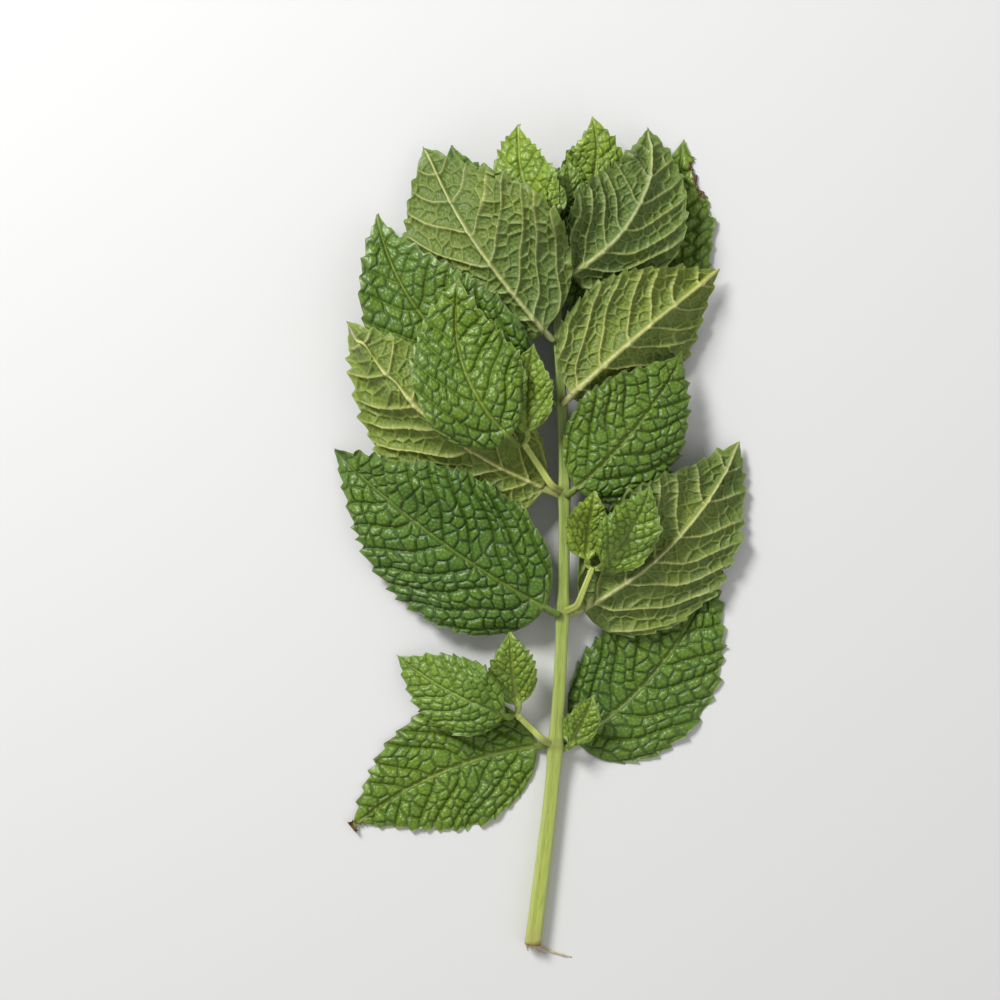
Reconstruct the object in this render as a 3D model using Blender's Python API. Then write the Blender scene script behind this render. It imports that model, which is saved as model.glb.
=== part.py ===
"""A cut mint sprig, lying on a table as it does when it is tipped out of its pack.

The sprig is one square stem with pairs of opposite leaves, two short side shoots and a leafy tip.
Each leaf is a thin curved plate. The leaves are laid one after another on a bed that remembers how
high everything already lies, so that each leaf rests on the table or clears what is under it.

Frame: +Y runs from the cut end to the tip, +Z is up, the table is z = 0, and the origin is on the
table under the middle of the sprig. Lengths in the tables below are millimetres.
"""

import math
from dataclasses import dataclass

import bmesh
import bpy
import numpy as np

MM = 0.001

# ---------------------------------------------------------------- driving dimensions, in millimetres

ORIGIN_FROM_CUT_END = (-0.6568, 86.37033)

STEM_ROUTE = (
    # x, y, z of the stem's middle, from the cut end to the tip
    (-1.6, 0.0, 1.75),
    (0.3, 15.0, 1.75),
    (2.2, 31.0, 1.85),
    (3.6, 48.0, 2.9),
    (4.6, 70.0, 4.6),
    (4.9, 95.0, 6.6),
    (4.2, 115.0, 7.9),
    (3.2, 135.0, 8.8),
    (2.6, 152.0, 9.6),
)
STEM_WIDTH_AT_CUT = 3.5
STEM_WIDTH_AT_TIP = 1.5
STEM_CORNER = 0.42
JOINT_SWELL = 0.22
JOINT_SPAN = 3.2
STEM_STEPS = 64

# How far along the stem each pair of leaves grows.
LEAF_JOINTS = (42.0, 70.0, 95.0, 114.0, 127.0, 140.0, 148.5, 152.5)

LEAF_THICKNESS = 0.55
PETIOLE_WIDTH = 1.4
PETIOLE_SHARE = 0.05
TEETH_DEPTH = 0.9

# The leaf outline: where it is widest, how round its base is and how sharp its tip.
WIDEST_POWER = 0.72
BASE_POWER = 0.6
TIP_POWER = 1.1

# Gaps: from a stalk to the stem's side, between one leaf's middle surface and the next one's, and how a
# side shoot stands off the stem and parts its two leaves.
STEM_GAP = 0.35
TOP_GAP = 0.5
ROOT_LIFT = 0.35
ROOT_DROP = 0.6
LAYER_GAP = 1.75
SHOOT_AHEAD = 2.0
SHOOT_CLEAR = 0.4
SHOOT_GAP = 0.8
PAIR_SPREAD = 1.45

# The grid that remembers heights, and the net of heights that each leaf is laid by.
BED_STEP = 0.8
BED_LOW = (-75.0, -25.0)
BED_HIGH = (75.0, 205.0)
SKY = 1000.0
REACH_AROUND = 2.0
SETTLING_ROUNDS = 10
NET_ROWS = 16
NET_COLUMNS = 8
RIPPLES = 2.3
SHOOT_STEPS = 12
DENSE_ALONG = 121
DENSE_ACROSS = 81


@dataclass
class Leaf:
    """One leaf. side is where on the stem it grows: 1 at its left, 0 on top, -1 at its right. It starts out
    at heading, in degrees left of +Y, and turns by bend on the way to its tip. tip and arch are heights: of
    the tip above the table, and of the midrib's bow. left and right tilt the two halves up from level, in
    degrees, and twist turns the tip's end against the stalk's. cup curls both margins up, and wave ripples
    them."""

    name: str
    joint: int
    side: float
    heading: float
    bend: float
    length: float
    width: float
    tip: float
    arch: float
    left: float
    right: float
    twist: float
    cup: float
    wave: float
    host: str = "stem"


@dataclass
class Shoot:
    """A short side shoot in the angle between a leaf and the stem, with a pair of leaves at its end."""

    name: str
    joint: int
    side: float
    heading: float
    length: float
    width: float
    rise: float


YOUNG_LENGTH = 28.0
GROWN_GRID = (18, 6)
YOUNG_GRID = (12, 4)
SHOOT_TAPER = 0.72
UNDERSIDE_UP = ("leaf_6_right", "leaf_5_left", "leaf_4_right", "leaf_3_left", "leaf_2_right")

# What lies under the stem, the lowest first.
LAID_BELOW = (
    Leaf("leaf_1_left", 0, 1, 96, 34, 45, 26, 1.4, -3.2, -3, -2, 3, 0.6, 1.3),
    Leaf("leaf_1_right", 0, -1, -60, 40, 49, 27, 1.6, -3.4, -2, -4, 3, 0.6, 1.3),
    Leaf("leaf_5_right", 4, -1, -56, 52, 51, 27, 0.4, -2.6, 3, -3, 3, 0.8, 1.3),
    Leaf("leaf_6_left", 5, 1, 62, -54, 36, 21, 2.0, 1.5, -6, 6, 5, 0.3, 0.9),
    Leaf("leaf_7_right", 6, -1, -44, 60, 27, 15, 8.0, 1.6, 10, -8, 0, 0.3, 0.8),
)

# What lies over the stem, the lowest first, so the tip's leaves come before those nearer the cut end.
LAID_ABOVE = (
    Leaf("tip_leaf_left", 7, 1, 26, -24, 13, 7.5, 11.5, 0.6, 12, 16, 4, 0.3, 0.3),
    Leaf("tip_leaf_right", 7, -1, -20, 28, 11, 6.5, 13.0, 0.6, 16, 12, 4, 0.3, 0.3),
    Leaf("leaf_7_left", 6, 1, 34, -40, 24, 13, 11.0, 1.2, 6, 6, 2, 0.4, 0.5),
    Leaf("leaf_6_right", 5, -1, -68, 78, 39, 24, 3.0, 5.0, -16, -16, -4, -0.6, 1.1),
    Leaf("leaf_5_left", 4, 0.7, 44, -22, 49, 33, 2.5, 5.0, -14, -7, 5, -1.2, 1.3),
    Leaf("leaf_4_right", 3, -0.3, -46, -6, 43, 27, 2.5, 4.5, -8, -34, 6, -0.4, 1.2),
    Leaf("leaf_4_left", 3, 1, 76, -66, 57, 28, 5.5, 2.0, 14, -12, -4, 0.2, 1.4),
    Leaf("leaf_3_right", 2, -0.5, -50, 22, 38, 24, 6.0, 4.5, -6, -16, 4, -0.8, 1.0),
    Leaf("leaf_3_left", 2, 1, 68, -36, 57, 28, 2.0, 3.0, 8, -14, -4, -0.8, 1.3),
    Shoot("side_shoot_left", 2, 1, 34, 10.0, 1.5, 2.0),
    Leaf("shoot_left_leaf_small", 2, -1, 8, -24, 19, 11, 13.0, 1.0, 12, 8, 0, 0.4, 0.5, "side_shoot_left"),
    Leaf("shoot_left_leaf_large", 2, 1, 50, -62, 38, 23, 9.0, 3.5, -16, -8, 4, -0.8, 0.8, "side_shoot_left"),
    Leaf("leaf_2_left", 1, 0.6, 62, -16, 58, 31, 1.2, 4.5, -14, -4, 6, -0.8, 1.3),
    Leaf("leaf_2_right", 1, -1, -64, 40, 51, 29, 1.6, 4.5, 6, -18, 3, -0.8, 1.3),
    Shoot("side_shoot_right", 1, -1, -22, 8.0, 1.4, 2.6),
    Leaf("shoot_right_leaf_small", 1, 1, 2, -16, 15, 9, 14.0, 0.6, 16, 8, 0, 0.3, 0.4, "side_shoot_right"),
    Leaf("shoot_right_leaf_large", 1, -1, -46, 30, 20, 12, 12.0, 1.2, 8, 4, 2, 0.3, 0.5, "side_shoot_right"),
    Shoot("side_shoot_low", 0, 1, 46, 7.0, 1.4, 1.4),
    Leaf("shoot_low_leaf_small", 0, -1, 12, -12, 16, 9.5, 9.0, 0.8, 12, 6, 0, 0.3, 0.4, "side_shoot_low"),
    Leaf("shoot_low_leaf_large", 0, 1, 72, -20, 27, 16, 1.8, 2.2, -12, 4, 3, -0.3, 0.8, "side_shoot_low"),
    Leaf("axil_leaf_right", 0, -1, -32, 14, 12, 7, 6.5, 0.6, 10, 14, 0, 0.2, 0.2),
)


# ---------------------------------------------------------------- curves and surfaces


def cubic_weights(t):
    """Catmull-Rom weights of the four rows around a place t of the way from the second to the third."""
    return np.stack(
        [
            0.5 * (-t + 2 * t**2 - t**3),
            0.5 * (2 - 5 * t**2 + 3 * t**3),
            0.5 * (t + 4 * t**2 - 3 * t**3),
            0.5 * (-(t**2) + t**3),
        ]
    )


def smooth_route(points, samples_per_span=24):
    """Points on a Catmull-Rom curve through the given ones, ends included."""
    held = np.array([points[0], *points, points[-1]], float)
    held[0] = 2 * held[1] - held[2]
    held[-1] = 2 * held[-2] - held[-3]
    made = []
    for a, b, c, d in zip(held, held[1:], held[2:], held[3:]):
        for t in np.arange(samples_per_span) / samples_per_span:
            made.append(cubic_weights(t) @ np.array([a, b, c, d]))
    made.append(held[-2])
    return np.array(made)


SHOOTS = [item for item in LAID_ABOVE if isinstance(item, Shoot)]
shoot_ends = {}
STEM_LINE = smooth_route(STEM_ROUTE)
STEM_ALONG = np.concatenate([[0.0], np.cumsum(np.linalg.norm(np.diff(STEM_LINE, axis=0), axis=1))])
STEM_LENGTH = STEM_ALONG[-1]


def stem_middle(along):
    """The stem's middle at a distance from the cut end."""
    return np.array([np.interp(along, STEM_ALONG, STEM_LINE[:, k]) for k in range(3)])


def stem_half_width(along):
    """Half the square stem's width, which narrows to the tip and swells a little at each pair of leaves."""
    share = along / STEM_LENGTH
    plain = STEM_WIDTH_AT_CUT + (STEM_WIDTH_AT_TIP - STEM_WIDTH_AT_CUT) * share
    swell = sum(math.exp(-(((along - joint) / JOINT_SPAN) ** 2)) for joint in LEAF_JOINTS[:-2])
    return 0.5 * plain * (1 + JOINT_SWELL * swell)


def resample(net, rows, axis):
    """A net of points sampled at fractional rows along one axis, as a smooth curve through them."""
    moved = np.moveaxis(net, axis, 0)
    padded = np.concatenate([2 * moved[:1] - moved[1:2], moved, 2 * moved[-1:] - moved[-2:-1]])
    low = np.clip(np.floor(rows).astype(int), 0, len(moved) - 2)
    weights = cubic_weights(rows - low)
    made = sum(
        weights[k].reshape(-1, *[1] * (moved.ndim - 1)) * padded[low + k] for k in range(4)
    )
    return np.moveaxis(made, 0, axis)


def half_width_at(along, width):
    """Half a leaf's width at shares of its length: a narrow stalk, then a blade round at its base and
    sharp at its tip."""
    blade = np.clip((along - PETIOLE_SHARE) / (1 - PETIOLE_SHARE), 0, 1)
    egg = np.sin(math.pi * blade**WIDEST_POWER) ** (BASE_POWER + (TIP_POWER - BASE_POWER) * blade)
    return 0.5 * np.maximum(PETIOLE_WIDTH * (1 - along), width * egg)


def plan(leaf, along, across):
    """Where on the table a leaf's points lie, seen from above: a grid of shares of its length, 0 to 1,
    and of its half width, -1 at its right margin to 1 at its left."""
    start, turn = math.radians(leaf.heading), math.radians(leaf.bend)
    way = start + turn * along
    root = leaf_root(leaf)
    x = root[0] + leaf.length * (np.cos(way) - math.cos(start)) / turn
    y = root[1] + leaf.length * (np.sin(way) - math.sin(start)) / turn
    half = half_width_at(along, leaf.width)[:, None] * across[None, :]
    left, right = halves_tilt(leaf, along)
    half = half * np.where(across[None, :] > 0, np.cos(left)[:, None], np.cos(right)[:, None])
    x = x[:, None] - np.cos(way)[:, None] * half
    y = y[:, None] - np.sin(way)[:, None] * half
    return np.stack([x, y], axis=2)


def halves_tilt(leaf, along):
    """How far a leaf's two halves are tilted up, in radians, at shares of its length."""
    turn = leaf.twist * (2 * along - 1)
    return np.radians(leaf.left + turn), np.radians(leaf.right - turn)


def surface(leaf, heights, along, across):
    """Points of a leaf's smooth middle surface, at shares of its length and half width as in plan."""
    rows = resample(heights, along * NET_ROWS, 0)
    z = np.maximum(resample(rows, (across + 1) / 2 * NET_COLUMNS, 1), LEAF_THICKNESS / 2)
    return np.concatenate([plan(leaf, along, across), z[..., None]], axis=2)


# ---------------------------------------------------------------- the bed on which the leaves are laid


class Bed:
    """How high everything laid so far reaches, on a grid over the table."""

    def __init__(self):
        size = [int((h - l) / BED_STEP) + 1 for l, h in zip(BED_LOW, BED_HIGH)]
        self.height = np.full(size, LEAF_THICKNESS / 2 - LAYER_GAP)
        self.ceiling = np.full(size, SKY)
        reach = int(math.ceil(REACH_AROUND / BED_STEP))
        steps = range(-reach, reach + 1)
        self.around = [(i, j) for i in steps for j in steps if math.hypot(i, j) * BED_STEP <= REACH_AROUND]

    def cells(self, points):
        """The grid cells that hold these points."""
        i = np.round((points[..., 0] - BED_LOW[0]) / BED_STEP).astype(int)
        j = np.round((points[..., 1] - BED_LOW[1]) / BED_STEP).astype(int)
        return i, j

    def under(self, points):
        """The greatest height near each point of what is already laid."""
        i, j = self.cells(points)
        return np.max([self.height[i + a, j + b] for a, b in self.around], axis=0)

    def over(self, points):
        """The least height near each point of what is held above it."""
        i, j = self.cells(points)
        return np.min([self.ceiling[i + a, j + b] for a, b in self.around], axis=0)

    def add(self, points):
        """Lays a densely sampled surface on the bed."""
        np.maximum.at(self.height, self.cells(points), points[..., 2])

    def hang(self, points):
        """Notes a surface that what is laid next has to pass under."""
        np.minimum.at(self.ceiling, self.cells(points), points[..., 2])


def stem_surface(sign):
    """Points all along the stem, at its top with sign 1 or its bottom with sign -1."""
    made = []
    for along in np.arange(0.0, STEM_LENGTH, BED_STEP / 2):
        half = stem_half_width(along)
        for across in np.linspace(-half, half, 9):
            made.append(stem_middle(along) + np.array([across, 0, sign * half]))
    return np.array(made)


def shoot_plan(shoot):
    """The middle of a side shoot before it is laid, from beside the stem to its end."""
    root = stem_middle(LEAF_JOINTS[shoot.joint])
    half = stem_half_width(LEAF_JOINTS[shoot.joint])
    turn = math.radians(shoot.heading)
    way = np.array([-math.sin(turn), math.cos(turn), 0])
    start = root + np.array([-shoot.side * (half + shoot.width), SHOOT_AHEAD, half])
    along = np.linspace(0, 1, SHOOT_STEPS + 1)[:, None]
    return start + way * shoot.length * along + np.array([0, 0, shoot.rise]) * along * (2 - along)


def lay_shoot(shoot, bed):
    """The middle of a side shoot, laid on the bed."""
    line = shoot_plan(shoot)
    needed = np.maximum(bed.under(line) + SHOOT_CLEAR + shoot.width / 2 - line[:, 2], 0)
    line[:, 2] += settle(needed[:, None], 0)[:, 0]
    return line


def leaf_root(leaf):
    """Where a leaf's stalk begins, just clear of the stem or side shoot that it grows from."""
    if leaf.host != "stem":
        shoot = next(s for s in SHOOTS if s.name == leaf.host)
        end = shoot_ends.get(shoot.name, shoot_plan(shoot)[-1])
        turn = math.radians(shoot.heading)
        across = np.array([-math.cos(turn), -math.sin(turn), 0]) * leaf.side
        ahead = np.array([-math.sin(turn), math.cos(turn), 0])
        return end + across * PAIR_SPREAD + ahead * SHOOT_GAP
    along = LEAF_JOINTS[leaf.joint]
    half = stem_half_width(along)
    reach = half + STEM_GAP + PETIOLE_WIDTH / 2 * math.cos(math.radians(leaf.heading))
    shaded = any(s.joint == leaf.joint and s.side * leaf.side > 0.8 for s in SHOOTS)
    lift = -ROOT_DROP if shaded or leaf in LAID_BELOW else ROOT_LIFT
    over = math.sqrt(1 - leaf.side**2) * (half + TOP_GAP)
    return stem_middle(along) + np.array([-leaf.side * reach, 0, lift * half + over])


def settle(needed, held):
    """Lifts that clear what is below, eased out around the places that need them. First rows are held."""
    lift = needed
    for _ in range(SETTLING_ROUNDS):
        edged = np.pad(lift, 1, mode="edge")
        blurred = (edged[:-2, 1:-1] + edged[2:, 1:-1] + edged[1:-1, :-2] + edged[1:-1, 2:]) / 4
        lift = np.maximum(needed, 0.5 * (lift + blurred))
        lift[:held] = 0
    return lift


def lay(leaf, bed):
    """The heights of a leaf's net, laid on the bed: rows run from its stalk to its tip, columns from its
    right margin to its left."""
    along = np.linspace(0, 1, NET_ROWS + 1)
    across = np.linspace(-1, 1, NET_COLUMNS + 1)
    root = leaf_root(leaf)
    half = half_width_at(along, leaf.width)[:, None]
    body = half / half.max()
    left, right = halves_tilt(leaf, along)
    eased = along * along * (3 - 2 * along)
    spine = root[2] + (leaf.tip - root[2]) * eased + leaf.arch * 4 * along * (1 - along)
    slope = np.where(across[None, :] > 0, np.sin(left)[:, None], np.sin(right)[:, None])
    ripple = np.sin(2 * math.pi * (RIPPLES * along[:, None] + 0.35 * across) + leaf.length)
    curl = (leaf.cup + leaf.wave * ripple) * body * across**2
    wanted = spine[:, None] + slope * half * np.abs(across) + curl

    points = np.concatenate([plan(leaf, along, across), wanted[..., None]], axis=2)
    needed = np.maximum(bed.under(points) + LAYER_GAP - wanted, 0)
    needed[0] = 0
    heights = wanted + settle(needed, 1)
    if leaf in LAID_BELOW:
        heights[1:] = np.minimum(heights[1:], bed.over(points)[1:] - LAYER_GAP)
    return heights


def lay_sprig():
    """The heights of every leaf's net, and every side shoot's middle line, laid in order."""
    bed = Bed()
    bed.hang(stem_surface(-1))
    laid = {}
    dense = np.linspace(0, 1, DENSE_ALONG), np.linspace(-1, 1, DENSE_ACROSS)
    for item in (*LAID_BELOW, "stem", *LAID_ABOVE):
        if item == "stem":
            bed.add(stem_surface(1))
        elif isinstance(item, Shoot):
            laid[item.name] = lay_shoot(item, bed)
            shoot_ends[item.name] = laid[item.name][-1]
            bed.add(laid[item.name] + np.array([0, 0, item.width / 2]))
        else:
            laid[item.name] = lay(item, bed)
            bed.add(surface(item, laid[item.name], *dense))
    return laid


# ---------------------------------------------------------------- solids


def to_row_frame(point):
    """Millimetres from the cut end's corner of the table to metres from the origin."""
    return (
        (point[0] - ORIGIN_FROM_CUT_END[0]) * MM,
        (point[1] - ORIGIN_FROM_CUT_END[1]) * MM,
        point[2] * MM,
    )


def plant_material(name, colour, roughness):
    """A plain leaf or stem finish."""
    material = bpy.data.materials.new(name)
    material.use_nodes = True
    shader = material.node_tree.nodes["Principled BSDF"]
    shader.inputs["Base Color"].default_value = (*colour, 1.0)
    shader.inputs["Roughness"].default_value = roughness
    shader.inputs["Metallic"].default_value = 0.0
    return material


def add_object(name, mesh_maker, material):
    """Links a new object whose mesh a bmesh function fills."""
    shape = bmesh.new()
    mesh_maker(shape)
    bmesh.ops.recalc_face_normals(shape, faces=shape.faces)
    mesh = bpy.data.meshes.new(name)
    shape.to_mesh(mesh)
    shape.free()
    mesh.materials.append(material)
    mesh.shade_smooth()
    made = bpy.data.objects.new(name, mesh)
    bpy.context.scene.collection.objects.link(made)
    return made


def leaf_plate(leaf, heights, shape):
    """One leaf's curved sheet with a toothed margin: a point at each tooth and each notch."""
    rows, columns = GROWN_GRID if leaf.length > YOUNG_LENGTH else YOUNG_GRID
    along = np.linspace(0, 1, rows + 1)
    across = np.linspace(-1, 1, columns + 1)
    points = surface(leaf, heights, along, across)
    grid = []
    for r in range(rows):
        line = points[r].copy()
        if r > 1 and r % 2 == 0:
            half = half_width_at(along[r], leaf.width)
            line[0] += (line[1] - line[0]) * TEETH_DEPTH / half
            line[-1] += (line[-2] - line[-1]) * TEETH_DEPTH / half
        grid.append([shape.verts.new(to_row_frame(p)) for p in line])
    tip = shape.verts.new(to_row_frame(points[-1][columns // 2]))
    for lower, upper in zip(grid, grid[1:]):
        for c in range(columns):
            shape.faces.new((lower[c], lower[c + 1], upper[c + 1], upper[c]))
    for c in range(columns):
        shape.faces.new((grid[-1][c], grid[-1][c + 1], tip))


def make_leaf(leaf, heights, material):
    """A leaf's node: its sheet, thickened equally to both sides."""
    plate = add_object(leaf.name, lambda shape: leaf_plate(leaf, heights, shape), material)
    thicken = plate.modifiers.new("thickness", "SOLIDIFY")
    thicken.thickness = LEAF_THICKNESS * MM
    thicken.offset = 0.0
    return plate


def square_tube(shape, middles, halves, corner):
    """A tube of square section with cut corners, whose flat sides face up, down and sideways."""
    rings = []
    for k, (middle, half) in enumerate(zip(middles, halves)):
        ahead = middles[min(k + 1, len(middles) - 1)] - middles[max(k - 1, 0)]
        ahead = ahead / np.linalg.norm(ahead)
        side = np.cross(ahead, (0, 0, 1))
        side = side / np.linalg.norm(side)
        up = np.cross(side, ahead)
        flat = half * (1 - corner)
        outline = ((half, -flat), (half, flat), (flat, half), (-flat, half))
        outline += tuple((-a, -b) for a, b in outline)
        rings.append(
            [shape.verts.new(to_row_frame(middle + side * a + up * b)) for a, b in outline]
        )
    for lower, upper in zip(rings, rings[1:]):
        for c in range(len(lower)):
            d = (c + 1) % len(lower)
            shape.faces.new((lower[c], lower[d], upper[d], upper[c]))
    shape.faces.new(rings[0])
    shape.faces.new(rings[-1])


def main_stem(shape):
    """The main stem, from its cut end to the tip."""
    alongs = np.linspace(0, STEM_LENGTH, STEM_STEPS + 1)
    square_tube(
        shape, [stem_middle(a) for a in alongs], [stem_half_width(a) for a in alongs], STEM_CORNER
    )


def side_shoot(shoot, line, shape):
    """A side shoot's own stem."""
    halves = np.linspace(0.5, SHOOT_TAPER / 2, len(line)) * shoot.width
    square_tube(shape, list(line), halves, STEM_CORNER)


def build():
    """The whole sprig."""
    for old in list(bpy.data.objects):
        bpy.data.objects.remove(old)
    stem_green = plant_material("stem_green", (0.36, 0.46, 0.10), 0.5)
    upper_green = plant_material("leaf_upper_green", (0.07, 0.19, 0.035), 0.45)
    under_green = plant_material("leaf_under_green", (0.20, 0.33, 0.08), 0.6)
    young_green = plant_material("young_leaf_green", (0.19, 0.36, 0.05), 0.5)

    laid = lay_sprig()
    add_object("stem", main_stem, stem_green)
    for shoot in SHOOTS:
        add_object(shoot.name, lambda shape, s=shoot: side_shoot(s, laid[s.name], shape), stem_green)
    for leaf in (*LAID_BELOW, *LAID_ABOVE):
        if isinstance(leaf, Shoot):
            continue
        young = leaf.length < YOUNG_LENGTH
        grown = under_green if leaf.name in UNDERSIDE_UP else upper_green
        make_leaf(leaf, laid[leaf.name], young_green if young else grown)


build()
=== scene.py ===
# %% [markdown]
# # A cut mint sprig, lying on a table
#
# This lesson grows one sprig of mint: a square stem, pairs of toothed and puckered leaves, three short
# side shoots and a leafy tip. The simple solids of the sprig are already there as a frame. Every piece made
# here takes the place of one of them and adds what makes mint look like mint: the net of veins, the
# cushions between them, the teeth, the painted highlights along the ridges, and the browned cut.
#
# All lengths in the recipes are millimetres. They are turned into metres as each mesh is made.

# %% Load the frame
import math
from dataclasses import dataclass

import bpy
import numpy as np
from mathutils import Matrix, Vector


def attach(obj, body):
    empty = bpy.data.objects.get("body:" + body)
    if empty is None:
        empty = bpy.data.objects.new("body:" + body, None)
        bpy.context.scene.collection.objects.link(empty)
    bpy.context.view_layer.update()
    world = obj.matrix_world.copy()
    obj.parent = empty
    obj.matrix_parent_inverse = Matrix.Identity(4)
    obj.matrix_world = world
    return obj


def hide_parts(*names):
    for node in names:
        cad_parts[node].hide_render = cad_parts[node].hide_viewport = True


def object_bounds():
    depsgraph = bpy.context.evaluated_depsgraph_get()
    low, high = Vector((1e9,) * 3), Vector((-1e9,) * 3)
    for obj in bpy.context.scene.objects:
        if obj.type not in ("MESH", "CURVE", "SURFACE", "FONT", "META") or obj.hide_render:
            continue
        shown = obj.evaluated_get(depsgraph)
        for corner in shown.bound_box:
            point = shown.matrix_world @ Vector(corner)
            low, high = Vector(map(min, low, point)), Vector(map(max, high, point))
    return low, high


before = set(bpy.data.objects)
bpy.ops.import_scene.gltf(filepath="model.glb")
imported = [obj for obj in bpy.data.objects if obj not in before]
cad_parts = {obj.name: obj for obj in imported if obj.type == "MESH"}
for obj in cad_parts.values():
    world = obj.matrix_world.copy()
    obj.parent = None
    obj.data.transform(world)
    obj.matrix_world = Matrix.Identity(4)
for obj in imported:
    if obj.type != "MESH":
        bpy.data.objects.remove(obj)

cad_box = [list(corner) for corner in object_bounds()]
MM = 0.001
print("the frame's box in mm:", [[round(v / MM, 1) for v in corner] for corner in cad_box])

# %% [markdown]
# ## How fine the meshes are
#
# A mint leaf's cushions are two or three millimetres across and its finest veins a fifth of a millimetre
# wide. They could be painted on as a bump texture, but then the outline of a ridge against the light stays
# flat. Real geometry casts the small shadows that make a mint leaf look crisp, so each leaf is a fine grid.

# %% Mesh fineness
GRID = 0.2
print("one grid step is", GRID, "mm")

# %% [markdown]
# ## The stem's route
#
# The stem lies on the table at its cut end and is lifted towards the tip by the leaves under it. A smooth
# curve through a few listed points is the simplest way to draw such a line. A Blender curve object
# could do it too, but the leaves need to ask the stem where it is, so the curve is worked out in numpy.

# %% The stem as a smooth curve
ORIGIN_FROM_CUT_END = (-0.6568, 86.37033)
STEM_ROUTE = (
    (-1.6, 0.0, 1.75),
    (0.3, 15.0, 1.75),
    (2.2, 31.0, 1.85),
    (3.6, 48.0, 2.9),
    (4.6, 70.0, 4.6),
    (4.9, 95.0, 6.6),
    (4.2, 115.0, 7.9),
    (3.2, 135.0, 8.8),
    (2.6, 152.0, 9.6),
)
STEM_WIDTH_AT_CUT = 3.5
STEM_WIDTH_AT_TIP = 1.5
JOINT_SWELL = 0.22
JOINT_SPAN = 3.2
LEAF_JOINTS = (42.0, 70.0, 95.0, 114.0, 127.0, 140.0, 148.5, 152.5)


def cubic_weights(t):
    """Catmull-Rom weights of the four rows around a place t of the way from the second to the third."""
    return np.stack(
        [
            0.5 * (-t + 2 * t**2 - t**3),
            0.5 * (2 - 5 * t**2 + 3 * t**3),
            0.5 * (t + 4 * t**2 - 3 * t**3),
            0.5 * (-(t**2) + t**3),
        ]
    )


def smooth_route(points, samples_per_span=24):
    """Points on a Catmull-Rom curve through the given ones, ends included."""
    held = np.array([points[0], *points, points[-1]], float)
    held[0] = 2 * held[1] - held[2]
    held[-1] = 2 * held[-2] - held[-3]
    made = []
    for a, b, c, d in zip(held, held[1:], held[2:], held[3:]):
        for t in np.arange(samples_per_span) / samples_per_span:
            made.append(cubic_weights(t) @ np.array([a, b, c, d]))
    made.append(held[-2])
    return np.array(made)


STEM_LINE = smooth_route(STEM_ROUTE)
STEM_ALONG = np.concatenate([[0.0], np.cumsum(np.linalg.norm(np.diff(STEM_LINE, axis=0), axis=1))])
STEM_LENGTH = STEM_ALONG[-1]


def stem_middle(along):
    """The stem's middle at a distance from the cut end."""
    return np.array([np.interp(along, STEM_ALONG, STEM_LINE[:, k]) for k in range(3)])


def stem_half_width(along):
    """Half the square stem's width: narrowing to the tip, swollen at each pair of leaves."""
    plain = STEM_WIDTH_AT_CUT + (STEM_WIDTH_AT_TIP - STEM_WIDTH_AT_CUT) * along / STEM_LENGTH
    swell = sum(math.exp(-(((along - joint) / JOINT_SPAN) ** 2)) for joint in LEAF_JOINTS[:-2])
    return 0.5 * plain * (1 + JOINT_SWELL * swell)


print("the stem is", round(STEM_LENGTH, 1), "mm long")

# %% [markdown]
# ## The leaves' recipe
#
# Mint grows its leaves in opposite pairs. Tipped out flat, some show their dark puckered upper face and
# some their pale underside with its raised veins. Each leaf below is a handful of numbers a florist could
# give: where it grows, which way it points, how it bends, its size, and how it tilts, twists, cups and
# ripples. A sculpted mesh for each would show the same, but could never be re-laid when one leaf moves.

# %% One record per leaf and per side shoot
@dataclass
class Leaf:
    """heading and bend are in degrees left of +Y. tip and arch are heights. left and right tilt the two
    halves up from level, twist turns the tip's end, cup curls the margins up and wave ripples them."""

    name: str
    joint: int
    side: float
    heading: float
    bend: float
    length: float
    width: float
    tip: float
    arch: float
    left: float
    right: float
    twist: float
    cup: float
    wave: float
    host: str = "stem"


@dataclass
class Shoot:
    """A short side shoot in the angle between a leaf and the stem."""

    name: str
    joint: int
    side: float
    heading: float
    length: float
    width: float
    rise: float


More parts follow.
